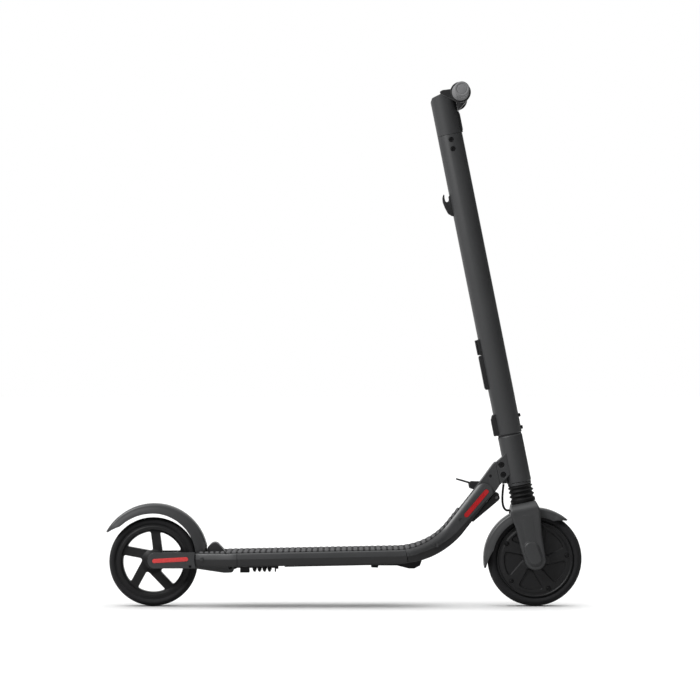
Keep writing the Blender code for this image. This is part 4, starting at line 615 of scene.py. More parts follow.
def make_front_wheel():
    """Tyre, motor drum, and the cover with its pockets and screws."""
    Piece("tyre_front", tyre(82.7, 101.6, 23), FRONT_WHEEL).finish("tyre", "front_wheel", ["front_tyre"])
    rim, seat = 83.0, -17.0
    lid = [
        (6.3, -13, 0), (62, -13, 0), (63, seat - 0.3, 0), (rim - 0.4, seat - 0.3, 0.4),
        (rim - 0.6, -20.2, 0.8), (rim - 2.6, -22.4, 0.7), (rim - 4.0, -22.2, 0.5),
        (rim - 5.4, -20.9, 0.6), (74.0, -21.2, 2.0), (70.5, -23.0, 2.0), (31, -24, 2.0),
        (28.5, -25.8, 1.0), (21.5, -26.6, 1.2), (20.2, -28, 0.9), (6.3, -28, 0.5),
    ]
    cover = Piece("motor_cover_shown", turned(lid, 160, step=18), FRONT_WHEEL)
    pocket_line = [(27, -26, 1.5), (65, -21.5, 4.5)] + [(66.5, turn, 0) for turn in (-14, -7, 0, 7, 14, 20)]
    pocket_line += [(65.5, 27, 4.5), (24.5, -4, 1.5)]
    walls = [(-20.4, 1.4), (-21.6, 0.3), (-27, -2.6)]
    for number in range(5):
        pocket = without_repeats(wedge(43 + 72 * number, pocket_line))
        cover.cut(loft([[(x, y, z) for x, z in inset(pocket, amount)] for y, amount in walls]))
        x, z = polar(69, 7 + 72 * number)
        centre = (x, 0, z)
        cover.cut(rod(5.4, -30, -19.6, centre=centre))
        stud(f"cover_screw_{number}", 3.6, (-22.8, -19.0), centre, 1.4, "dark_steel", "front_wheel",
             (1.5, -30, -21.4), place=FRONT_WHEEL)
    cover.finish("wheel", "front_wheel", ["motor_cover"], soft=0.35, steps=2, angle=25)
    drum = [
        (6.3, 13, 0), (64, 13, 0), (64, seat, 0), (rim - 4, seat, 0), (rim, seat + 1, 0.8),
        (rim, 19, 1.2), (66, 21.5, 4), (32, 24, 3), (26.5, 28, 1.5), (6.3, 28, 0.5),
    ]
    hub = Piece("motor_drum", turned(drum, 160, step=18), FRONT_WHEEL)
    window = [(36, -11, 2.5), (60, -12.5, 3), (62, 0, 0), (60, 12.5, 3), (36, 11, 2.5)]
    for number in range(10):
        hub.cut(prism(wedge(18 + 36 * number, window), 22.2, 40))
    hub.finish("wheel", "front_wheel", ["motor_hub"], soft=0.4, steps=2, angle=25)


def make_rear_wheel():
    """Five straight spokes in a deep rim, and the bearings' seals."""
    Piece("tyre_rear", tyre(79.8, 95.5, 21), REAR_WHEEL).finish("tyre", "rear_wheel", ["rear_tyre"])
    half = [
        (6.3, 24, 0.6), (15.5, 24, 1.5), (18, 20.5, 2), (26, 12, 2), (66.8, 10.5, 1.5),
        (69.6, 16.6, 0.8), (75.5, 17, 1.0), (77, 16.2, 0.6), (80, 16.8, 0.8),
    ]
    profile = [(r, -y, soft) for r, y, soft in half] + half[::-1]
    rim = Piece("rim_rear", turned(profile, 160, step=18), REAR_WHEEL)
    for number in range(5):
        walls = []
        for across, reach in ((-30, 67.6), (0, 64.4), (30, 67.6)):
            walls.append([(x, across, z) for x, z in window_between(97.5 + 72 * number, reach)])
        rim.cut(loft(walls))
    rim.finish("wheel", "rear_wheel", ["rear_rim"], soft=1.0, angle=40)
    for side, name in SIDES:
        low, high = span(side, 23.9, 19)
        ring = [(10.5, low, 0.4), (14.2, low, 0.6), (14.2, high, 0), (10.5, high, 0)]
        Piece(f"bearing_seal_{name}", turned(ring, 64), REAR_WHEEL).finish("steel", "rear_wheel")


def window_between(spoke, reach, aside=12.5, half=9.6, turn=72.0):
    """The opening after a spoke; the spokes are straight bars that pass beside the wheel's centre."""
    first, second = Vector(polar(1, spoke)), Vector(polar(1, spoke + turn))
    near = Vector((first.y, -first.x)) * (aside - half)
    far = Vector((second.y, -second.x)) * (aside + half)
    apart = far - near
    cross = first.x * second.y - first.y * second.x
    hub = near + first * ((apart.x * second.y - apart.y * second.x) / cross)
    low = near + first * math.sqrt(reach**2 - near.length_squared)
    high = far + second * math.sqrt(reach**2 - far.length_squared)
    hub_soft, rim_soft = 9.0, 5.0
    eased = math.degrees(rim_soft / reach)
    angle_low = math.degrees(math.atan2(low.y, low.x)) + eased
    spread = math.degrees(low.angle(high)) - 2 * eased
    rim_low = Vector(polar(reach, angle_low))
    rim_high = Vector(polar(reach, angle_low + spread))
    outline = bend(hub + (high - hub).normalized() * hub_soft, hub, hub + (low - hub).normalized() * hub_soft)
    outline += bend(low - first * rim_soft, low, rim_low)
    outline += [polar(reach, angle_low + spread * number / 14) for number in range(1, 14)]
    return outline + bend(rim_high, high, high - second * rim_soft)


# Stem and handlebar

HEAD_BOLTS = (898.4, 918.6)


def make_stem():
    """Round tube over the steerer, its studs, and the head casting that plugs into it."""
    tube = [
        (11.6, 274, 0), (25.6, 274, 0.6), (27, 275.4, 0.8), (27, 929.6, 0.3), (23.5, 929.6, 0),
        (23.5, 300, 0), (11.6, 300, 0),
    ]
    stem = Piece("tube_of_stem", turned(tube, 128, "Z", step=22), STEERING)
    steerer = [
        (9.6, 162, 0), (25.0, 162, 0.8), (25.4, 163, 0.4), (25.4, 167.7, 0.4), (15, 167.7, 0),
        (15, 298, 0), (9.6, 298, 0),
    ]
    stem.join(turned(steerer, 96, "Z", step=22))
    for up in HEAD_BOLTS:
        stem.cut(rod(5.7, -40, 40, centre=(0, 0, up)))
    stem.finish("painted", "stem", ["stem_tube"], soft=0.3, steps=2)
    seal = [(15.2, 271.1, 0), (25.3, 271.1, 0.3), (25.3, 274.2, 0.3), (15.2, 274.2, 0)]
    Piece("headset_seal", turned(seal, 96, "Z"), STEERING).finish("rubber", "stem")
    for up in (283.5, 310.0):
        stud(f"stem_stud_{round(up)}", 4, (25, 31), (0, 0, up), 1.4, "dark_steel", "stem",
             (1.9, 29.4, 40), "X", STEERING)
    low = 930.3
    outline = [
        (-27, low, 0), (-27, 1006.5, 5), (-22.6, 1014.3, 5), (-3, 1019, 3), (28, 998.6, 0),
        (27.2, 979, 0), (27.2, low, 0),
    ]
    casting = Piece("head_casting", prism(rounded(outline), -28, 28), STEERING)
    casting.crop(rod(27, 900, 1040, "Z", sides=128))
    casting.join(rod(23.2, 880, 942, "Z", sides=96))
    for up in HEAD_BOLTS:
        for side, name in SIDES:
            stud(f"head_bolt_{name}_{round(up)}", 5.2, span(side, 22.0, 26.3), (0, 0, up), 0.9, "dark_steel",
                 "stem", (2.6, *span(side, 24.2, 30)), place=STEERING)
    casting.finish("painted", "stem", ["stem_head"], soft=1.2, steps=4)


def make_clamp():
    """Moulded head that holds the bar, with the display and its button on top."""
    outline = rounded([(-2.4, 1019.4, 0), (-2.1, 1024.0, 2.2), (14, 1025.0, 9), (20.5, 1024.8, 0)], 12)
    outline += arc(BAR, 20.5, 124, -70, 44) + [(31, 979.0), (27.6, 979.0), (28.4, 998.9)]
    clamp = Piece("clamp_of_bar", soft_prism(outline, -26, 26, 2.0, steps=5), STEERING)
    clamp.cut(rod(BAR_HOLE, -60, 60, centre=BAR_CENTRE))
    clamp.cut(box((1.5, -16.3, 1022.8), (14.5, 8.3, 1030)))
    clamp.cut(rod(4.1, 1020.8, 1030, "Z", (8, 15.5, 0)))
    x, z = polar(15.5, -38)
    centre = (BAR[0] + x, 0, BAR[1] + z)
    for side, name in SIDES:
        clamp.cut(rod(2.9, *span(side, 24.5, 30), centre=centre))
        stud(f"clamp_screw_{name}", 2.6, span(side, 22, 25.2), centre, 0.4, "dark_steel", "stem",
             (1.3, *span(side, 24.2, 30)), place=STEERING)
    clamp.finish("plastic", "stem", ["bar_clamp"])
    face = rounded([(1.8, -16, 1.5), (14.2, -16, 1.5), (14.2, 8, 1.5), (1.8, 8, 1.5)])
    glass = Piece("display_glass", soft_prism(face, 1023.1, 1024.6, 0.4, "Z"), STEERING)
    glass.finish("lens", "stem", ["display"])
    button = [
        (0, 1022.4, 0), (3.8, 1022.4, 0.3), (3.8, 1025.6, 0.5), (2.6, 1025.6, 0.3),
        (2.3, 1025.2, 0.3), (0, 1025.1, 0),
    ]
    knob = Piece("button_cap", turned(button, 48, "Z", (8, 15.5, 0), 20), STEERING)
    knob.finish("rubber", "button", ["power_button"])


def make_bar():
    """Bar, grips and the two thumb controls."""
    tube = [(8.8, -212, 0.3), (11, -212, 0.5), (11, 212, 0.5), (8.8, 212, 0.3)]
    Piece("bar_tube", turned(tube, 96, centre=BAR_CENTRE), STEERING).finish("painted", "stem", ["handlebar"])
    grip = [
        (0, 212.3, 0), (BAR_HOLE, 212.3, 0), (BAR_HOLE, 125, 0), (18.4, 125, 0.8),
        (18.4, 128.6, 1.0), (16.2, 133.5, 1.5),
    ]
    place = 138.0
    while place < 204:
        grip += [(16.0, place, 0.4), (15.4, place + 0.5, 0.3)]
        grip += [(15.4, place + 1.1, 0.3), (16.0, place + 1.6, 0.4)]
        place += 4.4
    grip += [(16.0, 212.6, 2.2), (14.6, 215, 0.8), (11.4, 215, 0.5), (10.9, 214.2, 0.5)]
    grip += [(9.9, 214.2, 0.4), (9.4, 214.8, 0.5), (0, 214.8, 0)]
    shell = [
        (BAR_HOLE, 97, 0.3), (15.5, 97, 1.2), (18, 99.8, 1.6), (18, 104.0, 0.3), (17.4, 104.3, 0.2),
        (17.4, 104.9, 0.2), (18, 105.2, 0.3), (18, 111.7, 0.6), (BAR_HOLE, 111.7, 0),
    ]
    for side, name in SIDES:
        hand = "throttle" if side < 0 else "brake"
        mesh = turned(grip, 128, centre=BAR_CENTRE, step=20, side=side)
        Piece(f"rubber_grip_{name}", mesh, STEERING).finish("grip", "stem", [f"grip_{name}"])
        mesh = turned(shell, 96, centre=BAR_CENTRE, step=20, side=side)
        Piece(f"{hand}_shell", mesh, STEERING).finish("plastic", "stem", [f"{hand}_housing"])
        make_lever(hand, side)


def make_lever(hand, side):
    """A ring round the bar with a thumb paddle pointing straight back."""
    place = Matrix.Translation(STEERING @ moved_to(*BAR).translation)
    ring = [(BAR_HOLE, 112, 0), (22, 112, 1.2), (22, 124.4, 1.2), (BAR_HOLE, 124.4, 0)]
    lever = Piece(f"{hand}_paddle", turned(ring, 96, step=20, side=side), place)
    paddle = [
        (-13, 8, 0), (-24, 6.2, 14), (-37.8, 4.6, 3), (-43.8, 1.2, 1.8), (-42.3, -3.4, 2),
        (-29.5, -9.6, 12), (-13, -17.5, 0),
    ]
    lever.join(soft_prism(rounded(paddle, 12), *span(side, 112.5, 123.9), 1.5))
    for number in range(5):
        groove = (-36.2 + 3.2 * number, 0, 5.15 + 0.37 * number)
        lever.cut(rod(0.75, -130, 130, centre=groove, sides=16))
    lever.finish("plastic", hand, [f"{hand}_lever"], soft=0.3, steps=2)


def fitting(name, outline, half, look, stands_for, soft=1.2, hole=27.3):
    """A moulded fitting on the stem's wall, shaped to the round tube behind it."""
    piece = Piece(name, soft_prism(rounded(outline), -half, half, soft), STEERING)
    piece.cut(rod(hole, 100, 1100, "Z", sides=128))
    piece.finish(look, "stem", stands_for)


def make_fittings():
    """Hook, charging port and its flap, covers and headlight on the stem."""
    hook = [
        (-20, 757, 0), (-29, 757.2, 5), (-37, 764, 8), (-41.2, 778, 20), (-43.6, 791, 14),
        (-42.5, 800, 6), (-38.9, 807.2, 1.2), (-36.9, 805.6, 1.2), (-38.0, 799, 3),
        (-37.4, 790, 3.4), (-32.9, 789.2, 3.2), (-29.6, 793, 3), (-29, 801, 2), (-20, 803, 0),
    ]
    fitting("hook_for_bag", hook, 7, "plastic", ["bag_hook"], 1.1)
    port = [(-20, 452, 0), (-30.6, 452, 1.5), (-30.6, 486, 1.5), (-20, 486, 0)]
    fitting("charge_socket", port, 12.5, "plastic", ["charge_port"])
    cover = [(-20, 376, 0), (-31.8, 376.6, 2.5), (-33.6, 381, 3), (-33.6, 447.5, 3), (-31.8, 451.2, 2.5)]
    fitting("cover_of_connector", cover + [(-20, 451.5, 0)], 12.5, "plastic", ["connector_cover"], 1.5)
    block = [(-20, 275, 0), (-34, 275, 2), (-34, 311, 3), (-29, 321, 3), (-20, 321, 0)]
    fitting("cover_of_cable_entry", block, 15, "plastic", ["cable_cover"], 1.6)
    lamp = [(20, 931, 0), (28.4, 933, 1), (29.8, 936.5, 2), (29.8, 970, 2), (28.4, 974, 1), (20, 976, 0)]
    fitting("front_lamp", lamp, 9, "lens", ["headlight"])
    bezel = [(20, 929.5, 0), (28.7, 931.2, 1), (28.7, 975.8, 1), (20, 977.5, 0)]
    fitting("front_lamp_bezel", bezel, 10.6, "plastic", (), 0.8, hole=27.25)
    cap = rounded([(1.3, -31.5, 0.3), (-1.9, -31.5, 1.4), (-2.0, 0.9, 1.2), (1.3, 0.9, 0.3)])
    flap = Piece("charge_flap", soft_prism(cap, -11.5, 11.5, 0.9), STEERING @ moved_to(-32.4, 484.5))
    flap.cut(box((-3, -8, -27.5), (-1.3, 8, -26.5)))
    flap.finish("rubber", "cap", ["charge_cap"])


# Fork and head


def make_head():
    """Head tube, the bracket and block of the fold, their bolts, and the ends of the latch's pin."""
    profile = [
        (21, 176, 0), (15.3, 176, 0), (15.3, 168, 0.3), (25.2, 168, 0.8), (26.5, 169.6, 0.8),
        (26.5, 269.4, 0.8), (25.2, 271, 0.8), (15.3, 271, 0.3), (15.3, 263, 0), (21, 263, 0),
    ]
    tube = Piece("tube_of_head", turned(profile, 128, "Z", step=22), STEERING)
    tongue = [(-36, 171.4, 0.6), (-36, 218, 5), (-24, 224, 2), (-20, 224, 0), (-20, 171.4, 0)]
    tube.join(prism(rounded(tongue), -9, 9))
    tube.finish("painted", "head", ["head_tube"], soft=0.4, steps=2)
    for number, (forward, up) in enumerate(((-30.6, 212.5), (-30.9, 190.9))):
        for side, name in SIDES:
            stud(f"fold_bolt_{number}_{name}", 5.9, span(side, 16.9, 20.2), (forward, 0, up), 1.0,
                 "dark_steel", "head", (2.9, *span(side, 18.3, 24)), place=STEERING)
    cast_copy("fold_bracket", "painted", "head", 5)
    # The ears above the neck's top line are drawn darker than the rest of the block, in the plastic look.
    finish_where(cast_copy("neck_block", "painted", "chassis", 5), "plastic", above_neck)
    for side, name in SIDES:
        pin = span(side, 19.5, 21.25)
        stud(f"latch_pin_end_{name}", 3.3, pin, (313.7, 0, 280.3), 0.4, "dark_steel", "chassis")


def above_neck(middle, normal):
    """The ears that stand above the neck's top line and carry the pedal."""
    away = Vector((middle.x, middle.z)) - LINE.fold
    return away.dot(LINE.neck_up) > 6.2 and away.dot(LINE.neck_along) < -40


def make_pedal_and_latch():
    """The ribbed pedal behind the neck's block, and the hooked latch inside it."""
    plate = [
        (-33.2, 12.6, 0.5), (-32.6, 9.2, 0.8), (-6, 1.4, 3), (-3.2, -3.4, 2), (3.2, -3.4, 3),
        (3.6, 3.2, 3), (-4, 4.6, 3), (-14, 7.4, 14),
    ]
    place = moved_to(*LINE.on_neck(66.0, -9.5))
    pedal = Piece("pedal_plate", soft_prism(rounded(plate), -12.8, 12.8, 0.8), place)
    for number in range(5):
        x = -30.0 + 3.4 * number
        floor = [11.9 - 0.33 * (x + reach) for reach in (33, 34.2)]
        pedal.cut(prism([(x, 30), (x, floor[0]), (x + 1.2, floor[1]), (x + 1.2, 30)], -9.5, 9.5))
    pedal.cut(rod(2.1, -40, 40))
    pedal.finish("dark_steel", "pedal", ["fold_pedal"])
    hook = [
        (-12, -9, 2), (-2, -8, 2), (8, -7.5, 1), (13.3, -5.2, 0.8), (13.0, -1.5, 0.8), (8, 1.0, 1),
        (1.5, 6.2, 3), (-6, 5, 3),
    ]
    place = moved_to(*LINE.on_neck(29.5, 14.2))
    latch = Piece("latch_plate", soft_prism(rounded(hook), -6, 6, 0.6), place)
    latch.cut(rod(2.8, -40, 40))
    latch.finish("steel", "latch", ["latch_hook"])


def crowned_panel(side):
    """The raised panel on a fork leg: it bulges across the leg, and its top has round corners."""
    low, high, corner_size = 36.0, 100.8, 6.0
    rings = []
    for number in range(33):
        up = low + (high - low) * (1 - (1 - number / 32) ** 1.6)
        past = max(0.0, up - (high - corner_size)) / corner_size
        pull = corner_size * (1 - math.sqrt(max(0.0, 1 - past * past)))
        back = -20.0 - 5.6 * (up - 42) / 53 + pull
        front = 17.8 + 6.2 * (up - 42) / 55 - pull
        height = 46.65 - 1.5 * past**2
        ring = []
        for step in range(17):
            share = step / 8 - 1
            across = (back + front) / 2 + (front - back) / 2 * share
            ring.append((across, side * (height - 2.4 * abs(share) ** 2.4), up))
        rings.append(ring + [(front, side * 43.0, up), (back, side * 43.0, up)])
    return loft(rings)


def make_fork():
    """One cast fork with raised outer panels, its guide rod, and the caps over the axle's ends."""
    side_line = [(*point, 0) for point in arc((0, 0), 22.5, 188, 352, 24)]
    side_line += [(24.0, 50, 60), (30.3, 99, 14), (30.6, 107, 8), (25.5, 123.5, 0), (-27.5, 123.5, 0)]
    side_line += [(-34.0, 104, 7), (-28, 72, 60), (-26, 30, 40)]
    fork = Piece("fork_cast", soft_prism(rounded(side_line, 6), -46, 46, 4.5, steps=5), STEERING)
    front_line = [
        (-46, -30, 0), (-33, -30, 0), (-33, 111, 12), (33, 111, 12), (33, -30, 0), (46, -30, 0),
        (46, 124.4, 20), (-46, 124.4, 20),
    ]
    fork.crop(prism(rounded(front_line, 6), -60, 60, "X"))
    ease(fork.object, 0.9, 7)
    fork.cut(rod(6.3, -80, 80, sides=64))
    fork.finish("painted", "front_fork", ["fork"])
    slider = [(0, 119, 0), (9, 119, 0), (9, 239.5, 0.8), (0, 239.5, 0)]
    Piece("fork_slider", turned(slider, 64, "Z"), STEERING).finish("steel", "front_fork")
    cap_line = ((-1.5, 4.5), (-4.5, 24.7))
    for side, name in SIDES:
        plate = Piece(f"fork_panel_{name}", crowned_panel(side), STEERING)
        plate.finish("painted", "front_fork", angle=40)
        seat = soft_prism(capsule(*cap_line, 17.4), *span(side, 44.0, 47.6), 1.0)
        Piece(f"axle_cap_seat_{name}", seat, STEERING).finish("painted", "front_fork")
        cap = soft_prism(capsule(*cap_line, 15), *span(side, 46.3, 50.5), 2.4, steps=6)
        shown = Piece(f"cap_of_axle_{name}", cap, STEERING)
        shown.finish("painted", "front_fork", [f"axle_cap_{name}"])


# Fenders


def channel_side(half, low, high, shoulder):
    """One side of a channel as (y, radius): it leans in, then turns over a round shoulder."""
    drop = min(shoulder, high - low - 0.1)
    tall = high - low - drop
    lean = 0.26 * tall
    points = []
    for share in (0.0, 0.25, 0.5, 0.75, 1.0):
        points.append((half - lean * share**1.4, low + tall * share))
    for degrees in (15, 30, 45, 60, 75):
        turn = math.radians(degrees)
        points.append((half - lean - shoulder * (1 - math.cos(turn)), high - drop * (1 - math.sin(turn))))
    return points + [(half - lean - shoulder, high), (half * 0.4, high)]


def fender_shell(name, centre, angles, outer_at, skirt_at, half_at, wall, place=WORLD):
    """A channel bent round a wheel, with round shoulders and two side skirts."""
    shoulder = 5.5
    rings = []
    for angle in angles:
        outer, half = outer_at(angle), half_at(angle)
        skirt = min(skirt_at(angle), outer - wall - 0.5)
        side = channel_side(half, skirt + 0.3, outer, shoulder)
        ceiling = max(outer - wall, skirt + 0.3)
        inside = channel_side(half - wall, skirt + 0.05, ceiling, shoulder - wall)
        section = side + [(-y, r) for y, r in reversed(side)]
        section += [(-y, r) for y, r in inside] + inside[::-1]
        ring = []
        for y, radius in section:
            x, z = polar(radius, angle)
            ring.append((centre[0] + x, y, centre[1] + z))
        rings.append(ring)
    return Piece(name, loft(rings), place)


def make_front_fender():
    """The short fender that is held inside the fork."""
    front, rear = 50.5, 190.0

    def skirt_at(angle):
        share = min(1.0, (angle + RAKE - front) / 14.0, (rear - angle - RAKE) / 22.0)
        return 106.6 - 15.6 * max(0.0, share)

    def half_at(angle):
        share = max(0.0, min(1.0, (angle + RAKE - front) / 12.0, (rear - angle - RAKE) / 12.0))
        return 24 + 7 * math.sqrt(share * (2 - share))

    angles = [front + (rear - front) * number / 90 - RAKE for number in range(91)]
    fender = fender_shell(
        "fender_front", (0, 0), angles, lambda angle: 110.0, skirt_at, half_at, 2.5, STEERING
    )
    fender.finish("painted", "front_fork", ["front_fender"], angle=50)


def make_rear_fender():
    """The fender that is also the foot brake, with its lugs and the pad over the tyre."""
    top, front, tail = 82.0, 13.0, 147.0

    def outer_at(angle):
        return 125.0 - 5.17 * ((angle - top) / (tail - top)) ** 2

    def skirt_at(angle):
        if angle > 133:
            return 104 + (outer_at(tail) - 3.6 - 104) * (angle - 133) / (tail - 133)
        return 104 - 10 * max(0.0, (84 - angle) / 70) ** 1.3

    def half_at(angle):
        share = max(0.0, min(1.0, (tail - angle) / 12.0))
        return 22 + 9 * math.sqrt(share * (2 - share))

    angles = [tail + (front - 2 - tail) * number / 90 for number in range(91)]
    fender = fender_shell("fender_rear", REAR_AXLE, angles, outer_at, skirt_at, half_at, 2.6)
    for back, forward, high in ((-298.5, -250, 118.6), (-296.3, -250, 127.5), (-360, -298, 113.5)):
        fender.cut(box((back, -60, 60), (forward, 60, high)))
    lug = [
        (-298.6, 138, 0), (-297.6, 128, 4), (-301.6, 111, 5), (-308, 105.4, 5), (-314.2, 111, 5),
        (-312, 138, 0),
    ]
    for side, _ in SIDES:
        fender.join(prism(rounded(lug), *span(side, 21.6, 26.5)))
    fender.cut(rod(3.3, -60, 60, centre=FENDER_PIN))
    fender.finish("painted", "fender_brake", ["rear_fender"], angle=50)
    pad = arc(REAR_AXLE, 123.2, 104, 76, 16) + arc(REAR_AXLE, 106, 76, 104, 16)
    Piece("brake_pad", soft_prism(pad, -14, 14, 0.8)).finish("rubber", "fender_brake")


def make_front_suspension():
    """Spring and bellows between the fork's crown and the steerer's flange."""
    spring = Piece("coil_front", coil(123.8, 161.7, 14, 1.8, "Z"), STEERING)
    spring.finish("steel", "stem", ["front_spring"])
    low, high = 132.3, 160.2
    pitch = (high - low) / 3
    profile = [(19, 123.8, 0.3), (26.2, 123.8, 0.8), (26.8, 125, 0.6), (26.8, 131, 0.8), (25.6, low, 0.6)]
    for number in range(3):
        base = low + pitch * number
        profile += [(22.8, base + 0.3 * pitch, 1.3), (27.6, base + 0.8 * pitch, 1.0)]
    profile += [(24, 160.4, 0.5), (24, 161.7, 0.4), (19, 161.7, 0.3)]
    boot = Piece("bellows_ribbed", turned(profile, 128, "Z", step=20), STEERING)
    boot.finish("boot", "stem", ["bellows"], angle=50)
    for piece in (spring.object, boot.object):
        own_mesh(piece)


# Deck and neck

CAST_BACK = -324.0  # x of the rear casting's back end
REAR_SEAM = -229.0  # x of the seam between the rear casting and the deck
FRONT_SEAM = 131.0  # x of the seam between the deck and the neck
SEAM_GAP = 0.3  # half of the gap at a seam
CAST_HALF, DECK_HALF, NECK_HALF, NECK_TOP_HALF = 47.0, 75.0, 38.0, 29.5
DECK_DEPTH, NECK_DEPTH = 31.8, 40.0
COVER_CENTRE = 62.9  # how far before the fold the round end of the neck's covers has its centre
COVER_END = 36.9  # how far before the fold the strips end that those covers are cut from
CREASE = 15.5  # how far the crease in the deck's side lies below its top


def eased(low, high, share):
    """A value at a share of the way from low to high, with a slow start and end."""
    return low + (high - low) * share * share * (3 - 2 * share)


def spread_out(start, end, step):
    """Even places from start to end, about a step apart."""
    count = max(1, math.ceil((end - start) / step))
    return [start + (end - start) * number / count for number in range(count + 1)]


class TopLine:
    """The top of the mat in side view: the deck, one bend, then the straight neck."""

    def __init__(self):
        self.pitch = math.radians(1.15)
        self.steep = math.radians(51.8)
        fold = STEERING @ Vector((-42 * MM, 0, 216 * MM))
        self.fold = Vector((fold.x / MM, fold.z / MM))
        self.neck_along = Vector((math.cos(self.steep), math.sin(self.steep)))
        self.neck_up = Vector((-self.neck_along.y, self.neck_along.x))
        self.start = Vector((-252.0, 119.0))
        self.along = Vector((math.cos(self.pitch), math.sin(self.pitch)))
        on_neck = self.fold + self.neck_up * 5.3
        apart = on_neck - self.start
        cross = self.along.x * self.neck_along.y - self.along.y * self.neck_along.x
        reach = (apart.x * self.neck_along.y - apart.y * self.neck_along.x) / cross
        self.radius = 140.0
        tangent = self.radius * math.tan((self.steep - self.pitch) / 2)
        self.bend_start = reach - tangent
        self.bend_end = self.bend_start + self.radius * (self.steep - self.pitch)
        self.neck_base = self.start + self.along * reach + self.neck_along * tangent
        self.fold_place = self.bend_end + (on_neck - self.neck_base).dot(self.neck_along)

    def at(self, place):
        """The point, and the slope in radians, at a place along the line."""
        if place <= self.bend_start:
            return self.start + self.along * place, self.pitch
        if place >= self.bend_end:
            return self.neck_base + self.neck_along * (place - self.bend_end), self.steep
        turn = self.pitch + (place - self.bend_start) / self.radius
        foot = self.start + self.along * self.bend_start
        centre = foot + Vector((-math.sin(self.pitch), math.cos(self.pitch))) * self.radius
        return centre + Vector((math.sin(turn), -math.cos(turn))) * self.radius, turn

    def place_of_deck(self, x):
        """The place along the line above an x of the deck."""
        return (x - self.start.x) / self.along.x

    def section(self, place, points):
        """Lays (y, height above the line) points across the line at a place."""
        point, slope = self.at(place)
        up = Vector((-math.sin(slope), math.cos(slope)))
        return [(point.x + up.x * h, y, point.y + up.y * h) for y, h in points]

    def on_neck(self, before_fold, depth):
        """A point in side view, at a depth below the neck's top and a way before the fold."""
        point, _ = self.at(self.fold_place - before_fold)
        down = self.neck_up * -depth
        return point.x + down.x, point.y + down.y

    def share_of_bend(self, place):
        """How far a place lies on the way from the deck's front seam to the end of the bend."""
        start = self.place_of_deck(FRONT_SEAM)
        return min(1.0, max(0.0, (place - start) / (self.bend_end - start)))

    def half_width(self, place):
        """Half the width of deck or neck."""
        cover_end = self.fold_place - COVER_CENTRE
        if place >= self.bend_end:
            share = min(1.0, (place - self.bend_end) / (cover_end - self.bend_end))
            return NECK_HALF + (NECK_TOP_HALF - NECK_HALF) * share
        return eased(DECK_HALF, NECK_HALF, self.share_of_bend(place))

    def depth(self, place):
        """The depth of deck or neck."""
        return DECK_DEPTH + (NECK_DEPTH - DECK_DEPTH) * self.share_of_bend(place)


LINE = TopLine()


def body_section(half, depth):
    """Deck section: flat top under the mat, sides with one crease, flat underside."""
    right = [
        (half - 5, -2.8, 0.8), (half - 2.5, -4.8, 1.6), (half, -CREASE, 1.6),
        (half - 4.5, 2 - depth, 2.2), (half - 7, -depth, 1.6),
    ]
    return rounded(right + [(-y, h, soft) for y, h, soft in reversed(right)], 15)


def rear_half(place):
    """Half the width of the casting behind the deck."""
    start, end = LINE.place_of_deck(CAST_BACK), LINE.place_of_deck(REAR_SEAM) - SEAM_GAP
    return eased(CAST_HALF, DECK_HALF, (place - start) / (end - start))


def faces_ground(middle, normal):
    """The deck's lower facets and its underside, which are painted darker as shade because they face down."""
    crease = LINE.at(LINE.place_of_deck(middle.x))[0].y - CREASE
    return normal.z < -0.1 and middle.z < crease


def spring_pocket():
    """The room in the deck's underside for the spring and its rod."""
    return box((-233, -14, 44.5), (-136, 14, 98))


def make_deck():
    """The extrusion, and the casting behind it that carries the swing arm."""
    rear_seam, front_seam = LINE.place_of_deck(REAR_SEAM), LINE.place_of_deck(FRONT_SEAM)
    section = body_section(DECK_HALF, DECK_DEPTH)
    places = [rear_seam + SEAM_GAP] + spread_out(LINE.bend_start, front_seam - SEAM_GAP, 4)
    body = Piece("deck_extrusion", loft([LINE.section(place, section) for place in places]))
    body.cut(spring_pocket())
    shown = body.finish("painted", "chassis", ["deck_body"], soft=0.35, steps=2, angle=45)
    # The downward facets and the underside get painted shade.
    finish_where(shown, "painted_shade_facets", faces_ground)
    rings = []
    for place in spread_out(LINE.place_of_deck(CAST_BACK), rear_seam - SEAM_GAP, 4):
        rings.append(LINE.section(place, body_section(rear_half(place), DECK_DEPTH)))
    rear = Piece("deck_rear_casting", loft(rings))
    behind = arc((ARM_PIVOT[0], ARM_PIVOT[2]), 74, 140, 220, 48)
    rear.cut(prism([(-392, behind[0][1])] + behind + [(-392, behind[-1][1])], -85, 85))
    rear.cut(box((-392, -37.3, 0), (-233, 37.3, 112.2)))
    rear.cut(box((-392, -37.3, 50), (-296, 37.3, 150)))
    rear.cut(spring_pocket())
    rear.join(rod(5, -60, 60, centre=ARM_PIVOT))
    plug = (-305, 0, 104)
    for side, name in SIDES:
        rear.cut(rod(4.5, *span(side, 52.4, 80), centre=plug))
        stud(f"arm_stop_plug_{name}", 4.2, span(side, 47, 52.9), plug, 0.6, "painted", "chassis")
    shown = rear.finish("painted", "chassis", ["deck_rear"], soft=0.5, steps=2, angle=45)
    # The downward facets and the underside get painted shade.
    finish_where(shown, "painted_shade_facets", faces_ground)


RIB_STEPS = (0.0, 0.19, 0.22, 0.26, 0.31, 0.5, 0.69, 0.74, 0.78, 0.81)


def rib_height(share):
    """The height of a rib at a share of its pitch: a round-edged flat rib, then a valley."""
    if share < 0.19 or share > 0.81:
        return 0.0
    rise = min((share - 0.19) / 0.12, (0.81 - share) / 0.12, 1.0)
    return 0.9 * math.sin(rise * math.pi / 2) ** 0.8


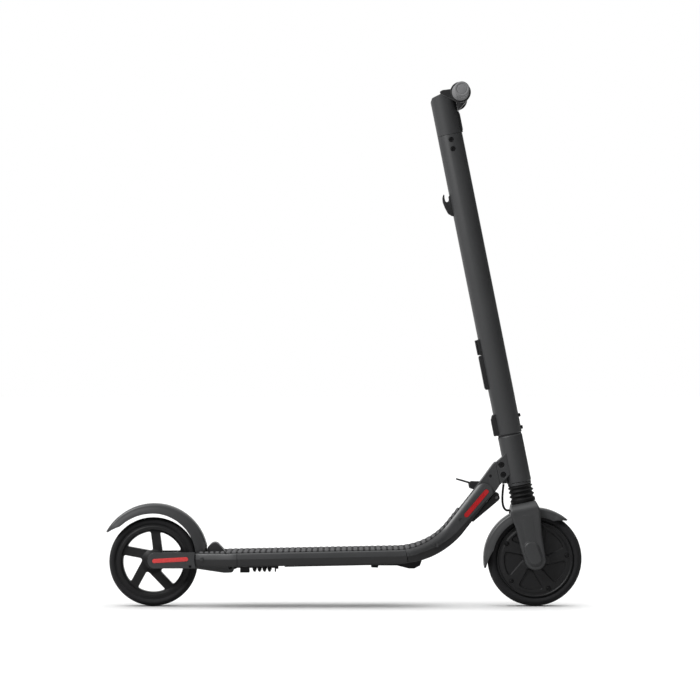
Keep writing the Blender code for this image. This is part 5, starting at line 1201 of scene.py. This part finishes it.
def ribbed(name, start, end, inner, outer_at, stands_for=()):
    """A ribbed mat along the deck; with inner above 0 it is a pair of strips beside the middle."""
    count = round((end - start) / 12.3)
    pitch = (end - start) / count
    places = []
    for number in range(count):
        places += [(start + (number + share) * pitch, rib_height(share)) for share in RIB_STEPS]
    places.append((end, 0.0))
    sheets = []
    for side in (-1, 1) if inner else (1,):
        sections = []
        for place, height in places:
            half = outer_at(place)
            points = [
                (half, -2.5), (half, -0.9), (half - 0.3, -0.3), (half - 1.0, 0.0),
                (half - 1.5, 0.0), (half - 2.0, height * 0.5), (half - 2.6, height * 0.93),
                (half - 3.4, height),
            ]
            if inner:
                points += [(inner + 0.4, height), (inner, -2.5)]
            else:
                points.append((half * 0.5, height))
                points += [(-y, h) for y, h in reversed(points)]
            sections.append(LINE.section(place, [(side * y, h) for y, h in points]))
        sheets.append(loft(sections))
    mat = Piece(name, merged(*sheets)).finish("mat", "chassis", stands_for, angle=50)
    valleys = []
    for number in range(count + 1):
        valleys.append([LINE.at(start + (number + share) * pitch)[0].x for share in (-0.19, 0.19)])

    def in_valley(middle, normal):
        return any(low < middle.x < high for low, high in valleys)

    # Painted shade in the valleys between the ribs.
    finish_where(mat, "mat_valley_shade", in_valley)


def make_mat():
    """The ribbed mat on deck and neck, and its two strips beside the cap. Its valleys are painted darker as
    shade.
    """
    start, end = LINE.place_of_deck(-254.0), LINE.fold_place - 124
    ribbed("mat_ribbed", start, end, 0, lambda place: LINE.half_width(place) - 8, ["deck_mat"])
    back = LINE.place_of_deck(-312.0)
    ribbed("mat_beside_hump", back, start - 0.6, 38.5, lambda place: rear_half(place) - 5)


def strip(places, side, inner, outer):
    """A strip along the neck's convex side, between two depths into the side."""
    rings = []
    for place in places:
        share = min(1.0, max(0.0, (LINE.fold_place - 60 - place) / 170))
        low = 1.5 + 14.5 * share**0.8 - LINE.depth(place)
        half = LINE.half_width(place)
        line = [
            (half - 4.2, -2.6), (half - 2.6, -5.0), (half - 1.2, -8.0), (half - 0.35, -11.5),
            (half, -15.0), (half - 0.2, -18.0), (half - 1.0, low + 2.0), (half - 2.4, low),
        ]
        points = [(y - outer, h) for y, h in line] + [(y - inner, h) for y, h in reversed(line)]
        rings.append(LINE.section(place, [(side * y, h) for y, h in points]))
    return loft(rings)


def side_at(x, z):
    """Half the width of the neck's side at a point in side view."""
    here = Vector((x, z))
    places = spread_out(LINE.place_of_deck(FRONT_SEAM), LINE.fold_place, 2)
    best = min(places, key=lambda place: (LINE.at(place)[0] - here).length)
    deep = (LINE.at(best)[0] - here).length
    half, depth = LINE.half_width(best), LINE.depth(best)
    if deep < CREASE:
        return half - 3 + 3 * (deep - 2.6) / 12.9
    return half - 4.5 * (deep - CREASE) / (depth - 17)


def make_neck():
    """Bent frame between two moulded covers, each with a long red reflector."""
    start = LINE.place_of_deck(FRONT_SEAM) + SEAM_GAP
    end = LINE.fold_place - 76.9
    rings = []
    for place in spread_out(start, end, 5):
        rings.append(LINE.section(place, body_section(LINE.half_width(place) - 3.48, LINE.depth(place))))
    bent = Piece("neck_bent_frame", loft(rings))
    # The frame shows as the band below the covers; its near-black look is painted shade.
    bent.finish("painted_shade_black", "chassis", ["neck_frame"], soft=0.4, angle=45)
    centre = Vector(LINE.on_neck(COVER_CENTRE, 21.3))
    region = arc(centre, 18.7, 51.8 + 90, 51.8 - 90, 40)
    for along, up in ((0, -90), (-420, -90), (-420, 90), (0, 90)):
        region.append(tuple(centre + LINE.neck_along * along + LINE.neck_up * up))
    patch_line = LINE.on_neck(124.5, 22.0), LINE.on_neck(59.0, 24.8)
    last = LINE.fold_place - COVER_END
    cover_places = spread_out(start, end, 5) + spread_out(end, last, 5)[1:]
    patch_places = spread_out(LINE.fold_place - 140, last, 3)
    for side, name in SIDES:
        cover = Piece(f"cover_of_neck_{name}", strip(cover_places, side, 3.0, 0))
        cover.crop(prism(region, -90, 90))
        pocket = Piece("pocket", strip(patch_places, side, 1.7, -8))
        pocket.crop(prism(capsule(*patch_line, 5.25), -90, 90))
        cover.combine(pocket, "DIFFERENCE")
        for x, z in ((198, 133), (251, 186)):
            half = side_at(x, z)
            cover.cut(rod(4.5, *span(side, half - 0.8, half + 20), centre=(x, 0, z)))
            stud(f"neck_plug_{name}_{x}", 4.2, span(side, half - 2.0, half - 0.45), (x, 0, z), 0.5,
                 "painted", "chassis")
        cover.finish("painted", "chassis", [f"neck_cover_{name}"], soft=0.5, steps=2, angle=45)
        patch = Piece(f"reflector_of_neck_{name}", strip(patch_places, side, 1.4, -0.4))
        patch.crop(prism(capsule(*patch_line, 4.95), -90, 90))
        patch.finish("reflector", "chassis", [f"neck_reflector_{name}"], soft=0.35, angle=45)


def make_housing():
    """The electronics' housing below the neck."""
    low = [
        (128.6, 40.6, 1.0), (49.0, 41.0, 2.5), (45.0, 47.5, 4), (52.0, 57.0, 4), (58.0, 57.5, 4),
        (127.6, 43.0, 1.0),
    ]
    outline = rounded([(*LINE.on_neck(before, depth), soft) for before, depth, soft in low])
    cover = Piece("housing_below_neck", soft_prism(outline, -19, 19, 0.9))
    x, z = LINE.on_neck(55.0, 50.0)
    centre = (x, 0, z)
    for side, name in SIDES:
        cover.cut(rod(4.2, *span(side, 17.2, 25), centre=centre))
        stud(f"housing_screw_{name}", 3.6, span(side, 15, 18.4), centre, 0.8, "dull_steel", "chassis",
             (1.7, *span(side, 17.4, 20)))
    cover.finish("plastic", "chassis", ["controller_cover"], soft=0.3, angle=50)


def make_plate():
    """The screwed plate below the deck."""
    top = -32.1
    section = rounded([(62, top, 0.2), (60.4, top - 2, 0.7), (-60.4, top - 2, 0.7), (-62, top, 0.2)])
    ends = [LINE.place_of_deck(x) for x in (-128.0, 101.0)]
    plate = Piece("plate_below_deck", loft([LINE.section(place, section) for place in ends]))
    screws = [(x, y) for x in (-118, -42, 30, 92) for y in (-54, 54)]
    for number, (x, y) in enumerate(screws):
        z = LINE.at(LINE.place_of_deck(x))[0].y - DECK_DEPTH
        centre = (x, y, 0)
        plate.cut(rod(3.8, z - 6, z - 1.2, "Z", centre))
        stud(f"plate_screw_{number}", 3.3, (z - 2.0, z - 0.6), centre, 0.5, "steel", "chassis",
             (1.5, z - 4, z - 1.3), "Z")
    plate.finish("plastic", "chassis", ["bottom_cover"], soft=0.3, angle=50)


def make_hump():
    """The cap in front of the rear fender, whose side faces are painted darker as shade."""
    back, front = -295.5, -256.5
    floor = [LINE.at(LINE.place_of_deck(x))[0].y - 2.5 for x in (back, front)]
    hump = [
        (back, floor[0], 0.4), (back + 0.8, floor[0] + 10, 14), (back + 10.5, floor[0] + 21.2, 12),
        (back + 21.5, floor[0] + 22.4, 10), (back + 34, floor[0] + 9.5, 12),
        (front, floor[1] + 1.2, 0.6), (front, floor[1], 0.4),
    ]
    shell = Piece("hump_shell", soft_prism(rounded(hump, 8), -20, 20, 1.6, steps=5))
    shell.crop(box((back - 5, -30, floor[0] + 0.05), (front + 5, 30, floor[0] + 60)))
    shown = shell.finish("painted", "chassis", ["rear_hump"], soft=0.4, angle=60)
    # Painted shade: the side faces are drawn darker than the lit top.
    finish_where(shown, "painted_shade_black", lambda middle, normal: abs(middle.y) > 19.9)


# Rear end, kickstand and cable


def make_rear_arm():
    """Swing arm with its covers and reflectors, and the rear axle."""
    outline = [
        (-237, 111.5, 6.8), (-237, 73.5, 6.5), (-258, 73, 6), (-312, 81, 8), (-330, 85.5, 14),
        (-419, 85.5, 14), (-419, 114.5, 14), (-318, 114.5, 6), (-300, 103.5, 6), (-253, 108.5, 5),
    ]
    arm = Piece("swing_arm", soft_prism(rounded(outline, 8), -36, 36, 2.2))
    arm.join(rod(6, -36, 36, centre=FENDER_PIN, soft=1.0))
    arm.cut(box((-441, -27, 40), (-311.1, 27, 150)))
    arm.cut(box((-315.1, -27, 103), (-299, 27, 150)))
    ease(arm.object, 0.9, 4)
    arm.cut(rod(6.3, -60, 60, centre=AXLE_CENTRE))
    arm.cut(rod(5.3, -60, 60, centre=ARM_PIVOT))
    arm.join(rod(3, -35, 35, centre=FENDER_PIN))
    arm.cut(box((-256, -8.5, 40), (-214, 8.5, 93.5)))
    arm.cut(rod(3.3, -60, 60, centre=(ARM_PIVOT[0], 0, ROD_HEIGHT)))
    arm.finish("painted", "arm", ["rear_arm"])
    axle = [
        (0, -41, 0), (8.5, -41, 1.2), (8.5, -36.3, 0), (6, -36.3, 0), (6, -26.7, 0), (9, -26.7, 0),
        (9, -24.3, 0), (6, -24.3, 0),
    ]
    axle += [(r, -y, soft) for r, y, soft in reversed(axle)]
    shaft = Piece("axle_of_rear_wheel", turned(axle, 64, centre=AXLE_CENTRE))
    shaft.finish("steel", "arm", ["rear_axle"])
    line = rounded([(-421, 83, 16.4), (-421, 117, 16.4), (-300, 117.2, 0), (-300, 83, 0)], 8)
    patch = ((-406.4, 98.9), (-338.4, 102.8))
    screw = (-329.8, 0, 86.9)
    for side, name in SIDES:
        plate = soft_prism(line, *span(side, 36.3, 46), 4.6, steps=8, low_soft=0.6)
        cover = Piece(f"cover_of_arm_{name}", plate)
        cover.cut(rod(76.9, -80, 80, centre=ARM_PIVOT, sides=240))
        cover.cut(rod(8.8, *span(side, 30, 41.3), centre=AXLE_CENTRE))
        cover.cut(prism(capsule(*patch, 4.85), *span(side, 44.3, 60)))
        low, high = span(side, 44.2, 60)
        cover.cut(box((-333.2, low, 84.2), (-326.4, high, 89.6)))
        stud(f"arm_cover_screw_{name}", 2.5, span(side, 42, 44.9), screw, 0.5, "dark_steel", "arm",
             (1.2, *span(side, 44.2, 50)))
        cover.finish("painted", "arm", [f"arm_cover_{name}"], soft=0.35, steps=2, angle=45)
        glass = soft_prism(capsule(*patch, 4.55), *span(side, 44.6, 46.4), 0.7)
        shown = Piece(f"reflector_of_arm_{name}", glass)
        shown.finish("clear_reflector", "arm", [f"arm_reflector_{name}"])


def make_rear_suspension():
    """The rod that the arm pulls, and the spring between the rod's plate and its bracket."""
    plate = 94.3
    profile = [
        (0, -7, 0), (3.2, -7, 0.4), (5.5, -4, 0.5), (5.5, 9, 0.8), (3, 14, 2), (3, plate, 0),
        (11.5, plate, 0.6), (11.5, plate + 3, 0.8), (5, plate + 3, 0.4), (5, plate + 8, 0.8),
        (0, plate + 8, 0),
    ]
    pull = Piece("rod_of_spring", turned(profile, 64, "X"), moved_to(ARM_PIVOT[0], ROD_HEIGHT))
    pull.join(rod(3, -14, 14, soft=0.4))
    pull.finish("dark_steel", "rod", ["pull_rod"])
    outline = [(-13, 72, 3), (13, 72, 3), (13, 96, 1), (-13, 96, 1)]
    holder = Piece("bracket_of_spring", soft_prism(rounded(outline), -224, -203.8, 1.0, "X"))
    holder.cut(rod(3.3, -260, -180, "X", (0, 0, ROD_HEIGHT)))
    holder.finish("dark_steel", "chassis", ["spring_bracket"])
    seat = -203.5
    spring = Piece("coil_rear", coil(seat, -150, 8.8, 2.7, "X"), moved_to(0, ROD_HEIGHT))
    spring.finish("dark_steel", "chassis", ["rear_spring"])
    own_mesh(spring.object)


def sideways(point):
    """The direction across the part, for bars that bend in side view."""
    return Vector((0, 1, 0))


def make_kickstand():
    """Cast bracket and bent leg, which lies folded along the deck's left edge."""
    lean = moved_to(146, 84, 52) @ Matrix.Rotation(math.radians(15), 4, "X")
    cast_copy("kickstand_bracket", "dark_steel", "chassis", 3)
    bar = [(-1.5, -0.5), (-6, -0.2), (-12, 0.9), (-18, 2.2), (-24, 2.8), (-32, 2.9), (-60, 2.9), (-84, 2.9)]
    leg = Piece("leg_of_stand", tube_along([Vector((x, 1, z)) for x, z in bar], 3.7, 32, sideways), lean)
    leg.join(rod(6, -4.3, 6, sides=64, soft=0.8))
    foot = rounded([(-88, -3.6, 1.5), (-73, -4.4, 2), (-71, 6.2, 2), (-88, 6.0, 1.5)])
    leg.join(soft_prism(foot, -5, 7, 1.5))
    leg.cut(rod(3.3, -20, 20))
    leg.finish("dark_steel", "stand", ["kickstand_leg"], soft=0.4, angle=45)


def make_motor_cable():
    """The cable from the head to the fork, in two stretches that meet where the stem carries it."""
    route = [
        (342.99, 262.18), (341.59, 249.98), (340.39, 233.98), (340.99, 220.98), (343.59, 211.38),
        (348.79, 205.98), (356.19, 205.58),
    ]
    points = [Vector((x, 0, z)) for x, z in route]
    dense = []
    for number in range(len(points) - 1):
        before, after = points[max(0, number - 1)], points[min(len(points) - 1, number + 2)]
        one, other = points[number], points[number + 1]
        for step in range(8):
            t = step / 8
            b = (other - before) * t
            c = (before * 2 - one * 5 + other * 4 - after) * t * t
            d = (one * 3 - before - other * 3 + after) * t * t * t
            dense.append((one * 2 + b + c + d) / 2)
    dense.append(points[-1])
    middle = 20
    upper = ("upper", dense[: middle + 1], "head", "stem")
    lower = ("lower", dense[middle:], "stem", "front_fork")
    for name, line, first, second in (upper, lower):
        piece = Piece(f"cable_{name}", tube_along(line, 2.4, 24, sideways))
        piece.finish("rubber", None, ["motor_cable"] if name == "upper" else ())
        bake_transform(piece.object)


# Stage

PHOTO_WIDTH = 700 * 2.153 * MM  # what the photograph's 700 pixels span in the middle plane
ROOM_DIM = 0.015  # light from the near side of the room, against the far side's white


def make_camera():
    """The photograph is a level view from the scooter's right, from far away."""
    centre = Vector((0.0123, 0.0, 0.5507))
    away = 7.5
    data = bpy.data.cameras.new("camera")
    data.sensor_width = 36.0
    data.lens = data.sensor_width * away / PHOTO_WIDTH
    data.clip_end = 40.0
    camera = add_object("camera", data)
    camera.location = centre + Vector((0, -away, 0))
    camera.rotation_euler = (math.radians(90), 0, 0)
    bpy.context.scene.camera = camera


def make_floor():
    """A plain white floor that runs off into the distance."""
    mesh = bmesh.new()
    half = 60.0
    corners = [(-half, -half), (half, -half), (half, half), (-half, half)]
    mesh.faces.new([mesh.verts.new((x, y, 0)) for x, y in corners])
    data = bpy.data.meshes.new("floor")
    mesh.to_mesh(data)
    mesh.free()
    floor = add_object("floor", data)
    look = Look("floor_white")
    look.colour(look.noise(300), (0.9, 0.9, 0.9), (0.94, 0.94, 0.94))
    look.finish(0.9)
    data.materials.append(look.material)
    return floor


def make_room():
    """A pale room: white on the far side and at the floor, dimmer on the near side and to the right."""
    world = bpy.data.worlds.new("room")
    world.use_nodes = True
    tree = world.node_tree
    place = add_node(tree, "TexCoord").outputs["Generated"]
    parts = add_node(tree, "SeparateXYZ", Vector=place)

    def ramp(axis, start, end, low, high):
        """A smooth change of light along one axis."""
        node = add_node(
            tree, "MapRange", Value=parts.outputs[axis], From_Min=start, From_Max=end, To_Min=low, To_Max=high
        )
        node.interpolation_type = "SMOOTHSTEP"
        return node.outputs["Result"]

    def pair(operation, one, other):
        """The sum or the larger one of two lights."""
        node = add_node(tree, "Math")
        node.operation = operation
        tree.links.new(one, node.inputs[0])
        tree.links.new(other, node.inputs[1])
        return node.outputs[0]

    near = pair("ADD", ramp("X", -1.0, 0.2, 0.45, 0.0), ramp("Z", 0.0, 1.0, ROOM_DIM, 0.2))
    far = pair("MAXIMUM", ramp("Y", 0.8, 0.97, 0.0, 1.0), ramp("Z", -0.06, 0.0, 1.0, 0.0))
    background = tree.nodes["Background"]
    set_inputs(tree, background, Strength=pair("MAXIMUM", near, far), Color=(1, 1, 1, 1))
    bpy.context.scene.world = world


def make_lights(floor):
    """Even light straight down, and a soft one behind the rider and to the right.

    The second is kept off the floor, which then takes no second shadow and stays evenly white.
    """
    above = bpy.data.lights.new("ceiling", "SUN")
    above.energy = 3.3
    above.angle = math.radians(100)
    add_object("ceiling", above).location = (0, 0, 4)
    data = bpy.data.lights.new("behind", "AREA")
    data.shape = "RECTANGLE"
    data.size, data.size_y = 1.3, 1.3
    data.energy = 270
    behind = add_object("behind", data)
    place, target = Vector((-2.3, -1.9, 2.9)), Vector((0.1, 0, 0.4))
    behind.location = place
    behind.rotation_euler = (target - place).to_track_quat("-Z", "Y").to_euler()
    group = bpy.data.collections.new("off_the_floor")
    group.objects.link(floor)
    behind.light_linking.receiver_collection = group
    group.collection_objects[0].light_linking.link_state = "EXCLUDE"


def main():
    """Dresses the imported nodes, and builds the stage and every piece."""
    dress_plain_nodes()
    make_camera()
    floor = make_floor()
    make_room()
    make_lights(floor)
    bpy.context.scene.view_settings.view_transform = "Standard"
    make_front_wheel()
    make_rear_wheel()
    make_stem()
    make_clamp()
    make_bar()
    make_fittings()
    make_head()
    make_pedal_and_latch()
    make_fork()
    make_front_fender()
    make_front_suspension()
    make_deck()
    make_mat()
    make_neck()
    make_housing()
    make_plate()
    make_hump()
    make_rear_arm()
    make_rear_fender()
    make_rear_suspension()
    make_kickstand()
    make_motor_cable()


main()
